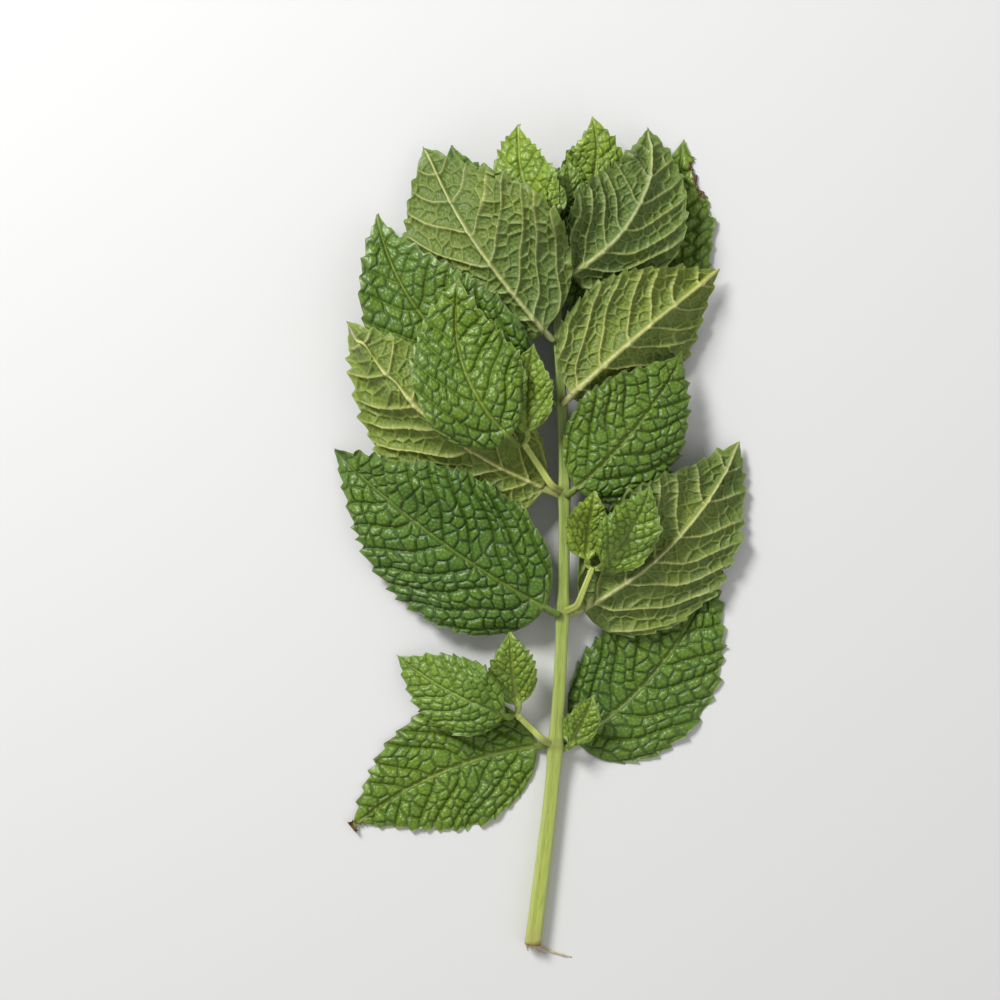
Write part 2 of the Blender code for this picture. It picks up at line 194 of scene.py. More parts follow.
LAID_BELOW = (
    Leaf("leaf_1_left", 0, 1, 96, 34, 45, 26, 1.4, -3.2, -3, -2, 3, 0.6, 1.3),
    Leaf("leaf_1_right", 0, -1, -60, 40, 49, 27, 1.6, -3.4, -2, -4, 3, 0.6, 1.3),
    Leaf("leaf_5_right", 4, -1, -56, 52, 51, 27, 0.4, -2.6, 3, -3, 3, 0.8, 1.3),
    Leaf("leaf_6_left", 5, 1, 62, -54, 36, 21, 2.0, 1.5, -6, 6, 5, 0.3, 0.9),
    Leaf("leaf_7_right", 6, -1, -44, 60, 27, 15, 8.0, 1.6, 10, -8, 0, 0.3, 0.8),
)
LAID_ABOVE = (
    Leaf("tip_leaf_left", 7, 1, 26, -24, 13, 7.5, 11.5, 0.6, 12, 16, 4, 0.3, 0.3),
    Leaf("tip_leaf_right", 7, -1, -20, 28, 11, 6.5, 13.0, 0.6, 16, 12, 4, 0.3, 0.3),
    Leaf("leaf_7_left", 6, 1, 34, -40, 24, 13, 11.0, 1.2, 6, 6, 2, 0.4, 0.5),
    Leaf("leaf_6_right", 5, -1, -68, 78, 39, 24, 3.0, 5.0, -16, -16, -4, -0.6, 1.1),
    Leaf("leaf_5_left", 4, 0.7, 44, -22, 49, 33, 2.5, 5.0, -14, -7, 5, -1.2, 1.3),
    Leaf("leaf_4_right", 3, -0.3, -46, -6, 43, 27, 2.5, 4.5, -8, -34, 6, -0.4, 1.2),
    Leaf("leaf_4_left", 3, 1, 76, -66, 57, 28, 5.5, 2.0, 14, -12, -4, 0.2, 1.4),
    Leaf("leaf_3_right", 2, -0.5, -50, 22, 38, 24, 6.0, 4.5, -6, -16, 4, -0.8, 1.0),
    Leaf("leaf_3_left", 2, 1, 68, -36, 57, 28, 2.0, 3.0, 8, -14, -4, -0.8, 1.3),
    Shoot("side_shoot_left", 2, 1, 34, 10.0, 1.5, 2.0),
    Leaf("shoot_left_leaf_small", 2, -1, 8, -24, 19, 11, 13.0, 1.0, 12, 8, 0, 0.4, 0.5, "side_shoot_left"),
    Leaf("shoot_left_leaf_large", 2, 1, 50, -62, 38, 23, 9.0, 3.5, -16, -8, 4, -0.8, 0.8, "side_shoot_left"),
    Leaf("leaf_2_left", 1, 0.6, 62, -16, 58, 31, 1.2, 4.5, -14, -4, 6, -0.8, 1.3),
    Leaf("leaf_2_right", 1, -1, -64, 40, 51, 29, 1.6, 4.5, 6, -18, 3, -0.8, 1.3),
    Shoot("side_shoot_right", 1, -1, -22, 8.0, 1.4, 2.6),
    Leaf("shoot_right_leaf_small", 1, 1, 2, -16, 15, 9, 14.0, 0.6, 16, 8, 0, 0.3, 0.4, "side_shoot_right"),
    Leaf("shoot_right_leaf_large", 1, -1, -46, 30, 20, 12, 12.0, 1.2, 8, 4, 2, 0.3, 0.5, "side_shoot_right"),
    Shoot("side_shoot_low", 0, 1, 46, 7.0, 1.4, 1.4),
    Leaf("shoot_low_leaf_small", 0, -1, 12, -12, 16, 9.5, 9.0, 0.8, 12, 6, 0, 0.3, 0.4, "side_shoot_low"),
    Leaf("shoot_low_leaf_large", 0, 1, 72, -20, 27, 16, 1.8, 2.2, -12, 4, 3, -0.3, 0.8, "side_shoot_low"),
    Leaf("axil_leaf_right", 0, -1, -32, 14, 12, 7, 6.5, 0.6, 10, 14, 0, 0.2, 0.2),
)
SHOOTS = [item for item in LAID_ABOVE if isinstance(item, Shoot)]
LEAVES = [item for item in (*LAID_BELOW, *LAID_ABOVE) if isinstance(item, Leaf)]
print(len(LEAVES), "leaves and", len(SHOOTS), "side shoots")

# %% [markdown]
# ## A leaf's outline
#
# From its stalk a mint leaf widens quickly to a round base and then narrows to a sharp tip. A power of a
# sine gives that egg shape with three numbers. The outline bends along an arc, and a half that is tilted
# down looks narrower from above, as it should.

# %% Outline and place of a leaf seen from above
LEAF_THICKNESS = 0.55
PETIOLE_WIDTH = 1.4
PETIOLE_SHARE = 0.05
WIDEST_POWER = 0.72
BASE_POWER = 0.6
TIP_POWER = 1.1
STEM_GAP = 0.35
TOP_GAP = 0.5
ROOT_LIFT = 0.35
ROOT_DROP = 0.6
SHOOT_AHEAD = 2.0
SHOOT_CLEAR = 0.4
SHOOT_GAP = 0.8
PAIR_SPREAD = 1.45
SHOOT_STEPS = 12
shoot_ends = {}


def half_width_at(along, width):
    """Half a leaf's width at shares of its length: a narrow stalk, then a blade."""
    blade = np.clip((along - PETIOLE_SHARE) / (1 - PETIOLE_SHARE), 0, 1)
    egg = np.sin(math.pi * blade**WIDEST_POWER) ** (BASE_POWER + (TIP_POWER - BASE_POWER) * blade)
    return 0.5 * np.maximum(PETIOLE_WIDTH * (1 - along), width * egg)


def shoot_plan(shoot):
    """The middle of a side shoot before it is laid, from beside the stem to its end."""
    root = stem_middle(LEAF_JOINTS[shoot.joint])
    half = stem_half_width(LEAF_JOINTS[shoot.joint])
    turn = math.radians(shoot.heading)
    way = np.array([-math.sin(turn), math.cos(turn), 0])
    start = root + np.array([-shoot.side * (half + shoot.width), SHOOT_AHEAD, half])
    along = np.linspace(0, 1, SHOOT_STEPS + 1)[:, None]
    return start + way * shoot.length * along + np.array([0, 0, shoot.rise]) * along * (2 - along)


def leaf_root(leaf):
    """Where a leaf's stalk begins, beside the stem or side shoot that it grows from."""
    if leaf.host != "stem":
        shoot = next(s for s in SHOOTS if s.name == leaf.host)
        end = shoot_ends.get(shoot.name, shoot_plan(shoot)[-1])
        turn = math.radians(shoot.heading)
        across = np.array([-math.cos(turn), -math.sin(turn), 0]) * leaf.side
        ahead = np.array([-math.sin(turn), math.cos(turn), 0])
        return end + across * PAIR_SPREAD + ahead * SHOOT_GAP
    along = LEAF_JOINTS[leaf.joint]
    half = stem_half_width(along)
    reach = half + STEM_GAP + PETIOLE_WIDTH / 2 * math.cos(math.radians(leaf.heading))
    shaded = any(s.joint == leaf.joint and s.side * leaf.side > 0.8 for s in SHOOTS)
    lift = -ROOT_DROP if shaded or leaf in LAID_BELOW else ROOT_LIFT
    over = math.sqrt(1 - leaf.side**2) * (half + TOP_GAP)
    return stem_middle(along) + np.array([-leaf.side * reach, 0, lift * half + over])


def halves_tilt(leaf, along):
    """How far a leaf's two halves are tilted up, in radians, at shares of its length."""
    turn = leaf.twist * (2 * along - 1)
    return np.radians(leaf.left + turn), np.radians(leaf.right - turn)


def midrib_plan(leaf, along):
    """Where the midrib runs on the table, and which way it points, at shares of the leaf's length."""
    start, turn = math.radians(leaf.heading), math.radians(leaf.bend)
    way = start + turn * along
    root = leaf_root(leaf)
    x = root[0] + leaf.length * (np.cos(way) - math.cos(start)) / turn
    y = root[1] + leaf.length * (np.sin(way) - math.sin(start)) / turn
    return x, y, way


def plan(leaf, along, across):
    """A grid of the leaf's points seen from above: across runs from -1, right margin, to 1, left."""
    x, y, way = midrib_plan(leaf, along)
    half = half_width_at(along, leaf.width)[:, None] * across[None, :]
    left, right = halves_tilt(leaf, along)
    half = half * np.where(across[None, :] > 0, np.cos(left)[:, None], np.cos(right)[:, None])
    x = x[:, None] - np.cos(way)[:, None] * half
    y = y[:, None] - np.sin(way)[:, None] * half
    return np.stack([x, y], axis=2)


big = max(LEAVES, key=lambda leaf: leaf.length)
outline = half_width_at(np.linspace(0, 1, 5), big.width)
print("half widths along", big.name, "in mm:", np.round(outline, 1))

# %% [markdown]
# ## Laying the leaves
#
# Leaves in a heap rest on each other. A cloth simulation would drape them like wet paper, but a fresh mint
# leaf is stiff: it keeps its own curve and is only pushed up where something lies under it. So a height map
# remembers how high the heap is, each new leaf is lifted just clear of it, and the lift is eased out over
# the leaf so that it bends instead of creasing.

# %% The bed that remembers heights
LAYER_GAP = 1.75
BED_STEP = 0.8
BED_LOW = (-75.0, -25.0)
BED_HIGH = (75.0, 205.0)
SKY = 1000.0
REACH_AROUND = 2.0
SETTLING_ROUNDS = 10
NET_ROWS = 16
NET_COLUMNS = 8
RIPPLES = 2.3


class Bed:
    """How high everything laid so far reaches, on a grid over the table."""

    def __init__(self):
        size = [int((h - l) / BED_STEP) + 1 for l, h in zip(BED_LOW, BED_HIGH)]
        self.height = np.full(size, LEAF_THICKNESS / 2 - LAYER_GAP)
        self.ceiling = np.full(size, SKY)
        reach = int(math.ceil(REACH_AROUND / BED_STEP))
        steps = range(-reach, reach + 1)
        self.around = [(i, j) for i in steps for j in steps if math.hypot(i, j) * BED_STEP <= REACH_AROUND]

    def cells(self, points):
        """The grid cells that hold these points."""
        i = np.round((points[..., 0] - BED_LOW[0]) / BED_STEP).astype(int)
        j = np.round((points[..., 1] - BED_LOW[1]) / BED_STEP).astype(int)
        return i, j

    def under(self, points):
        """The greatest height near each point of what is already laid."""
        i, j = self.cells(points)
        return np.max([self.height[i + a, j + b] for a, b in self.around], axis=0)

    def over(self, points):
        """The least height near each point of what is held above it."""
        i, j = self.cells(points)
        return np.min([self.ceiling[i + a, j + b] for a, b in self.around], axis=0)

    def add(self, points):
        """Lays a densely sampled surface on the bed."""
        np.maximum.at(self.height, self.cells(points), points[..., 2])

    def hang(self, points):
        """Notes a surface that what is laid next has to pass under."""
        np.minimum.at(self.ceiling, self.cells(points), points[..., 2])


def resample(net, rows, axis):
    """A net of heights sampled at fractional rows along one axis, as a smooth curve through them."""
    moved = np.moveaxis(net, axis, 0)
    padded = np.concatenate([2 * moved[:1] - moved[1:2], moved, 2 * moved[-1:] - moved[-2:-1]])
    low = np.clip(np.floor(rows).astype(int), 0, len(moved) - 2)
    weights = cubic_weights(rows - low)
    made = sum(weights[k].reshape(-1, *[1] * (moved.ndim - 1)) * padded[low + k] for k in range(4))
    return np.moveaxis(made, 0, axis)


def surface(leaf, heights, along, across):
    """Points of a leaf's smooth middle surface, at shares of its length and half width."""
    rows = resample(heights, along * NET_ROWS, 0)
    z = np.maximum(resample(rows, (across + 1) / 2 * NET_COLUMNS, 1), LEAF_THICKNESS / 2)
    return np.concatenate([plan(leaf, along, across), z[..., None]], axis=2)


print("the bed has", len(Bed().around), "cells in reach of each point")

# %% [markdown]
# ### One after another
#
# The stem is held up first, as a ceiling for the leaves that lie under it. Then each leaf wants its own
# curve, asks the bed how much it has to give way, and is added to the bed for the next one. The two leaves
# of the bud are so small that they are laid between their neighbours without lifting them.

# %% Laying one leaf or shoot after another
def stem_surface(sign):
    """Points all along the stem, at its top with sign 1 or its bottom with sign -1."""
    made = []
    for along in np.arange(0.0, STEM_LENGTH, BED_STEP / 2):
        half = stem_half_width(along)
        for across in np.linspace(-half, half, 9):
            made.append(stem_middle(along) + np.array([across, 0, sign * half]))
    return np.array(made)


def settle(needed, held):
    """Lifts that clear what is below, eased out around the places that need them."""
    lift = needed
    for _ in range(SETTLING_ROUNDS):
        edged = np.pad(lift, 1, mode="edge")
        blurred = (edged[:-2, 1:-1] + edged[2:, 1:-1] + edged[1:-1, :-2] + edged[1:-1, 2:]) / 4
        lift = np.maximum(needed, 0.5 * (lift + blurred))
        lift[:held] = 0
    return lift


def lay_shoot(shoot, bed):
    """The middle of a side shoot, laid on the bed."""
    line = shoot_plan(shoot)
    needed = np.maximum(bed.under(line) + SHOOT_CLEAR + shoot.width / 2 - line[:, 2], 0)
    line[:, 2] += settle(needed[:, None], 0)[:, 0]
    return line


def lay(leaf, bed):
    """The heights of a leaf's net, laid on the bed."""
    along = np.linspace(0, 1, NET_ROWS + 1)
    across = np.linspace(-1, 1, NET_COLUMNS + 1)
    root = leaf_root(leaf)
    half = half_width_at(along, leaf.width)[:, None]
    body = half / half.max()
    left, right = halves_tilt(leaf, along)
    eased = along * along * (3 - 2 * along)
    spine = root[2] + (leaf.tip - root[2]) * eased + leaf.arch * 4 * along * (1 - along)
    slope = np.where(across[None, :] > 0, np.sin(left)[:, None], np.sin(right)[:, None])
    ripple = np.sin(2 * math.pi * (RIPPLES * along[:, None] + 0.35 * across) + leaf.length)
    curl = (leaf.cup + leaf.wave * ripple) * body * across**2
    wanted = spine[:, None] + slope * half * np.abs(across) + curl

    points = np.concatenate([plan(leaf, along, across), wanted[..., None]], axis=2)
    needed = np.maximum(bed.under(points) + LAYER_GAP - wanted, 0)
    needed[0] = 0
    heights = wanted + settle(needed, 1)
    if leaf in LAID_BELOW:
        heights[1:] = np.minimum(heights[1:], bed.over(points)[1:] - LAYER_GAP)
    return heights


BUD_LEAVES = (
    Leaf("bud_leaf_left", 7, 0.4, 20, -34, 6.5, 3.6, 12.0, 0.3, 24, 30, 4, 0.3, 0.1),
    Leaf("bud_leaf_right", 7, -0.4, -14, 30, 5.5, 3.2, 12.5, 0.3, 30, 24, 4, 0.3, 0.1),
)
bed = Bed()
bed.hang(stem_surface(-1))
laid = {}
DENSE = np.linspace(0, 1, 121), np.linspace(-1, 1, 81)
for item in (*LAID_BELOW, "stem", *LAID_ABOVE[:2], *BUD_LEAVES, *LAID_ABOVE[2:]):
    if item == "stem":
        bed.add(stem_surface(1))
    elif isinstance(item, Shoot):
        laid[item.name] = lay_shoot(item, bed)
        shoot_ends[item.name] = laid[item.name][-1]
        bed.add(laid[item.name] + np.array([0, 0, item.width / 2]))
    else:
        laid[item.name] = lay(item, bed)
        if item not in BUD_LEAVES:
            bed.add(surface(item, laid[item.name], *DENSE))
print("laid", len(laid), "pieces; the heap is", round(bed.height.max(), 1), "mm high")

# %% [markdown]
# ## The net of veins
#
# A mint leaf's surface is a net on three scales. Side veins leave the midrib at about 50 degrees and sweep
# forward to the margin. Between two of them the leaf is divided into cells two or three millimetres
# across, and each cell again into crumbs of about one. On the upper face every cell swells into a cushion
# and the veins lie in grooves; on the underside the same cells are hollows and the veins stand out as
# ridges. Voronoi cells look exactly like that when they are grown inside the strips between the side
# veins, and the same function then serves both faces.

# %% Cells between veins
SEED_TABLE = np.random.default_rng(7).random((64, 64, 3))


def cell_borders(x, y, wall_every=None):
    """Distance to the nearest border of jittered Voronoi cells of size 1, and a random number per cell.
    With wall_every, cells on the far side of each multiple of it in x are ignored."""
    i, j = np.floor(x).astype(int), np.floor(y).astype(int)
    site_x, site_y, site_d, site_r = [], [], [], []
    for a in (-2, -1, 0, 1, 2):
        for b in (-2, -1, 0, 1, 2):
            drawn = SEED_TABLE[(i + a) % 64, (j + b) % 64]
            sx = i + a + 0.5 + 0.62 * (drawn[..., 0] - 0.5)
            sy = j + b + 0.5 + 0.62 * (drawn[..., 1] - 0.5) + 0.5 * ((i + a) % 2)
            d = (x - sx) ** 2 + (y - sy) ** 2
            if wall_every is not None:
                same = np.floor((i + a) / wall_every) == np.floor(x / wall_every)
                d = np.where(same, d, 1e6)
            site_x.append(sx)
            site_y.append(sy)
            site_d.append(d)
            site_r.append(drawn[..., 2])
    sites = [np.array(v) for v in (site_x, site_y, site_d, site_r)]
    site_x, site_y, site_d, _ = sites
    best = np.argmin(site_d, axis=0)[None]
    home_x, home_y, home_d, home_r = (np.take_along_axis(v, best, 0)[0] for v in sites)
    span = np.hypot(site_x - home_x, site_y - home_y)
    gap = np.where((span > 1e-6) & (site_d < 1e5), (site_d - home_d) / (2 * np.maximum(span, 1e-6)), 9.0)
    return gap.min(axis=0), home_r


def side_vein_starts(length, rng):
    """How far up the midrib each side vein leaves it: close together at the base, wider apart above."""
    count = max(4, round(2.4 + length / 12.5))
    even = (np.arange(count) + 0.3) / count
    starts = length * (0.015 + 0.9 * even**1.05)
    return starts + rng.uniform(-0.1, 0.1, count) * length / count


sample = cell_borders(np.arange(4) * 1.3, np.arange(4) * 0.9)[0]
print("distances to the nearest border, in cells:", np.round(sample, 2))

# %% [markdown]
# ## From cells to relief
#
# The midrib, side veins and cells are measured in the leaf's own flat coordinates: up the midrib, and out
# from it. The result is a set of maps over the leaf, each from 0 to 1 or in millimetres, which shape the
# mesh here and colour it later.

# %% Maps over one leaf
@dataclass
class Relief:
    """Maps over a leaf's grid: heights in millimetres, and masks from 0 to 1."""

    swell: np.ndarray
    groove: np.ndarray
    ridge: np.ndarray
    vein: np.ndarray
    midrib: np.ndarray
    cushion: np.ndarray
    crumb: np.ndarray
    shade: np.ndarray


LEAN = 0.7
SWEEP = 1.45
SLANT = 1.2
LOBE_VEINS = 4


def soft(distance, width):
    """1 on a line and fading to 0 a width away from it."""
    return np.exp(-((distance / width) ** 2))


def leaf_relief(leaf, up, out, half, puff, seed):
    """The relief at points up the midrib and out from it, in millimetres. half is the half width there."""
    rng = np.random.default_rng(seed)
    length, width = leaf.length, leaf.width
    side = np.sign(out)
    reach = np.abs(out)
    size = min(1.0, 0.45 + length / 85)
    slope = LEAN + 2 * SWEEP * reach / width
    lean = LEAN * reach + SWEEP * reach**2 / width
    wobble = np.sin(reach / (1.9 * size) + up / (4.1 * size) + seed)
    wobble = wobble + 0.6 * np.sin(reach / (0.9 * size) - up / 2.3)
    phase = up - lean + 0.42 * size * wobble * np.minimum(reach / 3, 1)
    steep = 1 / np.sqrt(1 + slope**2)

    gap_to_side = np.full(up.shape, 99.0)
    strip = np.zeros(up.shape)
    strip_width = np.full(up.shape, 8.0)
    for sign in (-1, 1):
        own = side_vein_starts(length, rng)
        spacing = (own[-1] - own[0]) / (len(own) - 1)
        in_lobe = own[0] - spacing * np.arange(LOBE_VEINS, 0, -1)
        starts = np.concatenate([in_lobe, own, [own[-1] + 1.3 * spacing, 1.4 * length]])
        here = (side == sign) | ((side == 0) & (sign == 1))
        k = np.clip(np.searchsorted(starts, phase[here], side="right") - 1, 0, len(starts) - 2)
        low, high = starts[k], starts[k + 1]
        share = (phase[here] - low) / (high - low)
        near = phase[here] - low
        far = high - phase[here]
        gap_to_side[here] = np.minimum(near, far) * steep[here]
        strip[here] = k + np.clip(share, 0, 0.999)
        strip_width[here] = (high - low) * steep[here]

    walls = 2
    cell_size = 2.7 * size
    run = (SLANT * up + reach) / math.hypot(SLANT, 1)
    drift = 0.35 * np.sin(up / 2.6 + 1.7 * seed) * np.sin(reach / 2.1 + seed)
    x = strip * walls
    y = run / cell_size + drift + 17.0 * (side > 0) + seed
    edge, shade = cell_borders(x, y, walls)
    mean_size = np.clip(0.5 * (strip_width / walls + cell_size), 1.2 * size, 3.6 * size)
    gap_to_cell = edge * mean_size
    crumb_size = 1.0 * size
    crumb_edge, crumb_shade = cell_borders(up / crumb_size + 0.2 * reach, reach / crumb_size + 9.0 * seed)
    gap_to_crumb = crumb_edge * crumb_size

    fade = np.clip((half - reach) / (1.6 * size), 0, 1)
    midrib_width = (0.52 * size + 0.2) * (1 - 0.72 * np.clip(up / length, 0, 1))
    gap_to_midrib = reach
    at_midrib = soft(gap_to_midrib, midrib_width)
    taper = 1 - 0.25 * np.clip(reach / (0.5 * width), 0, 1)
    at_side = soft(gap_to_side, (0.32 * size + 0.12) * taper) * (0.35 + 0.65 * fade)
    at_cell = soft(gap_to_cell, 0.22 * size + 0.06) * (0.4 + 0.6 * fade) * (0.55 + 0.45 * shade)
    at_crumb = soft(gap_to_crumb, 0.16 * size + 0.03) * fade

    gap = np.minimum(np.minimum(gap_to_cell, gap_to_side), np.maximum(gap_to_midrib - 0.5 * midrib_width, 0))
    cushion = 1 - (1 - np.clip(gap / (0.78 * size), 0, 1)) ** 2.6
    crumb = 1 - (1 - np.clip(gap_to_crumb / (0.42 * size), 0, 1)) ** 2
    between_sides = np.clip(gap_to_side / (0.5 * strip_width + 0.1), 0, 1)
    broad = np.sin(0.5 * math.pi * between_sides) * np.clip(reach / 3.0, 0, 1)
    blade = np.clip(half / (0.12 * width), 0, 1) ** 2
    height = 0.27 + 0.2 * shade
    swell = 0.42 * broad * fade + height * cushion * (0.45 + 0.55 * fade) + 0.1 * crumb * cushion * fade
    swell = blade * puff * size * swell
    groove = blade * size * (0.42 * at_midrib + 0.24 * at_side + 0.14 * at_cell)
    ridge = 0.78 * at_midrib + 0.4 * at_side + 0.22 * at_cell + 0.07 * at_crumb * (1 - at_cell)
    ridge = blade * size * ridge
    vein = np.maximum(np.maximum(at_midrib, 0.8 * at_side), np.maximum(0.5 * at_cell, 0.2 * at_crumb))
    return Relief(swell, groove, ridge, vein, at_midrib, cushion, crumb, 0.7 * shade + 0.3 * crumb_shade)


example_veins = side_vein_starts(48, np.random.default_rng(1))
print("side veins on a 48 mm leaf start at", np.round(example_veins, 1), "mm")

# %% [markdown]
# ## Teeth
#
# Mint is sharply toothed: each tooth rises slowly, leans towards the tip and drops back in a notch. The
# teeth are made by pulling the outer two millimetres of the grid outward and forward, so they share the
# leaf's mesh and its veins run into them.

# %% Saw teeth along a margin
def tooth_pull(distance, spacing, rng):
    """How far out a margin is pulled, from 0 to 1, at distances along it."""
    count = int(distance[-1] / spacing) + 3
    marks = np.cumsum(spacing * rng.uniform(0.6, 1.4, count)) - spacing
    heights = rng.uniform(0.45, 1.15, count)
    k = np.clip(np.searchsorted(marks, distance, side="right") - 1, 0, count - 2)
    share = np.clip((distance - marks[k]) / (marks[k + 1] - marks[k]), 0, 1)
    rise = np.clip(share / 0.84, 0, 1) ** 1.4
    drop = np.clip((1 - share) / 0.16, 0, 1)
    return heights[k] * np.minimum(rise, drop)


def margin_teeth(leaf, along, half, rng):
    """The pull at each row of the left and right margins, none on the stalk and little at the tip."""
    step = np.hypot(np.gradient(along) * leaf.length, np.gradient(half))
    distance = np.cumsum(step)
    spacing = 1.0 + 2.5 * min(leaf.length / 50, 1)
    room = np.clip((half - PETIOLE_WIDTH / 2) / 2.0, 0, 1) * np.clip((along - PETIOLE_SHARE) / 0.08, 0, 1)
    return [tooth_pull(distance, spacing, rng) * room for _ in range(2)]


saw = tooth_pull(np.linspace(0, 7, 8), 3.5, np.random.default_rng(1))
print("pull of two teeth at steps of 1 mm:", np.round(saw, 2))

# %% [markdown]
# ## Building a leaf
#
# The smooth laid surface, the relief and the teeth meet here. The upper and lower faces are two copies of
# one grid, pushed apart by the leaf's thickness and joined along the margin by a narrow rim. The stalk is
# the same grid drawn narrow and thick, and its first rows run on into the stem so that no gap shows. The
# maps are stored as attributes on the mesh, where the materials read them.

# %% Sizes of the blade and helpers for meshes
UPPER_FACES_DOWN = ("leaf_6_right", "leaf_5_left", "leaf_4_right", "leaf_3_left", "leaf_2_right")
BLADE_THICKNESS = 0.34
FLOOR_CLEAR = 0.04
STALK_ROWS = 8
PUFF = {"shoot_left_leaf_large": 1.4, "leaf_2_left": 1.3, "leaf_3_right": 1.25, "leaf_4_left": 0.95}
GOLDEN_SHARE = 0.618
FRILL = 0.3
NOTCH = 1.5
UV_MARGIN = 2.4
WITHERED = {
    "leaf_5_right": (0.84, -1.0, 2.2),
    "leaf_1_left": (0.97, 1.0, 1.3),
    "leaf_2_right": (0.55, -1.0, 0.9),
}


def metres(points):
    """Millimetres from the cut end to metres from the frame's origin."""
    return (points - np.array([*ORIGIN_FROM_CUT_END, 0.0])) * MM


def grid_normals(points):
    """The unit normal at each point of a grid, pointing up."""
    normals = np.cross(np.gradient(points, axis=1), np.gradient(points, axis=0))
    normals /= np.maximum(np.linalg.norm(normals, axis=2, keepdims=True), 1e-9)
    return normals * np.where(normals[..., 2:] < 0, -1, 1)


def anchor_of(leaf):
    """The point inside the stem or side shoot that a leaf's stalk grows from."""
    if leaf.host != "stem":
        return shoot_ends[leaf.host]
    along = LEAF_JOINTS[leaf.joint]
    toward = np.array([-leaf.side * 0.35 * stem_half_width(along), -0.6, 0])
    return stem_middle(along) + toward


def grid_faces(rows, columns, offset, flip):
    """The quads of a grid of vertices, wound one way or the other."""
    index = offset + np.arange(rows * columns).reshape(rows, columns)
    quads = np.stack([index[:-1, :-1], index[:-1, 1:], index[1:, 1:], index[1:, :-1]], axis=-1).reshape(-1, 4)
    return quads[:, ::-1] if flip else quads


def mesh_object(name, points, faces, uv, attributes, material):
    """A smooth-shaded mesh object with a UV map for baking and named attributes."""
    mesh = bpy.data.meshes.new(name)
    mesh.vertices.add(len(points))
    mesh.vertices.foreach_set("co", points.astype(np.float32).ravel())
    mesh.loops.add(faces.size)
    mesh.loops.foreach_set("vertex_index", faces.astype(np.int32).ravel())
    mesh.polygons.add(len(faces))
    mesh.polygons.foreach_set("loop_start", np.arange(0, faces.size, 4, dtype=np.int32))
    mesh.polygons.foreach_set("use_smooth", np.ones(len(faces), dtype=bool))
    layer = mesh.uv_layers.new(name="OFBake")
    layer.data.foreach_set("uv", uv.astype(np.float32).ravel())
    for label, values in attributes.items():
        store = mesh.attributes.new(label, "FLOAT", "POINT")
        store.data.foreach_set("value", values.astype(np.float32).ravel())
    mesh.update(calc_edges=True)
    mesh.validate()
    mesh.materials.append(material)
    made = bpy.data.objects.new(name, mesh)
    bpy.context.scene.collection.objects.link(made)
    return made


print("a grown leaf's blade is", BLADE_THICKNESS, "mm thick")

# %% [markdown]
# ### Teeth, frill and withered spots
#
# The middle surface is changed first, before it gets two faces, so that both faces share every tooth. The
# margin is frilled a little, and three leaves have a dry, notched spot where they were bruised.

# %% The leaf's middle surface in detail
def stalk_share(along):
    """1 on the stalk, and 0 on the blade."""
    return 1 - np.clip((along - 0.5 * PETIOLE_SHARE) / (1.6 * PETIOLE_SHARE), 0, 1)[:, None]


def ripe_share(number):
    """How ripe and dark a leaf is, from 0 to 1, spread evenly over the leaves."""
    return (number * GOLDEN_SHARE) % 1


def tooth_size(leaf):
    """How far a full tooth of this leaf is pulled out."""
    return 0.5 + 0.7 * min(leaf.length / 50, 1)


def withering(leaf, along, across, half):
    """How dry and brown a leaf is: a ragged spot on the margin of the leaves that have one."""
    at_along, at_across, size = WITHERED.get(leaf.name, (2.0, 1.0, 0.0))
    up = (along[:, None] - at_along) * leaf.length
    out = (across[None, :] - at_across) * half[:, None]
    ragged = 0.5 * np.sin(2.3 * up + 1.1 * out) + 0.4 * np.sin(5.1 * up - 2.7 * out) + 0.25 * np.sin(9.7 * up)
    return np.clip(1.1 * (size - np.hypot(0.55 * up, out) + 0.6 * ragged * min(size, 1)), 0, 1)


def shaped_middle(leaf, number, along, across, half, near_edge, withered):
    """The leaf's middle surface with its teeth, frilled margin and withered notch, and the teeth's pull."""
    rng = np.random.default_rng(100 + number)
    middle = surface(leaf, laid[leaf.name], along, across)
    pulls = margin_teeth(leaf, along, half, rng)
    pull = np.where(across[None, :] > 0, pulls[0][:, None], pulls[1][:, None]) * near_edge
    _, _, way = midrib_plan(leaf, along)
    forward = np.stack([-np.sin(way), np.cos(way), 0 * way], axis=1)[:, None, :]
    leftward = np.stack([-np.cos(way), -np.sin(way), 0 * way], axis=1)[:, None, :]
    outward = leftward * np.sign(across)[None, :, None]
    pull = tooth_size(leaf) * pull
    middle = middle + pull[..., None] * (0.85 * outward + 0.5 * forward)
    lift = np.sin(7 * along[:, None] * leaf.length / 10 + number)
    middle[..., 2] += 0.22 * pull / tooth_size(leaf) * near_edge * lift

    out = across[None, :] * half[:, None]
    outer = (np.abs(out) / (0.5 * leaf.width)) ** 2 * np.clip((along[:, None] - 0.1) / 0.2, 0, 1)
    frill = np.sin(along[:, None] * leaf.length / 1.35 + 2.0 * np.sign(across)[None, :] + number)
    middle = middle + FRILL * frill[..., None] * outer[..., None] * (outward * 0.6 + np.array([0, 0, 1.0]))
    middle = middle - NOTCH * (withered * near_edge)[..., None] * outward
    return middle, pull, forward[0, 0]


print("a full tooth of", big.name, "is", round(tooth_size(big), 2), "mm")

# %% [markdown]
# ### Two faces and a stalk
#
# Cushions push both faces the same way, as on a real leaf, where a bump above is a hollow below. Only the
# veins differ: grooves above, ridges below. The stalk is a short curve from inside the stem to the blade.

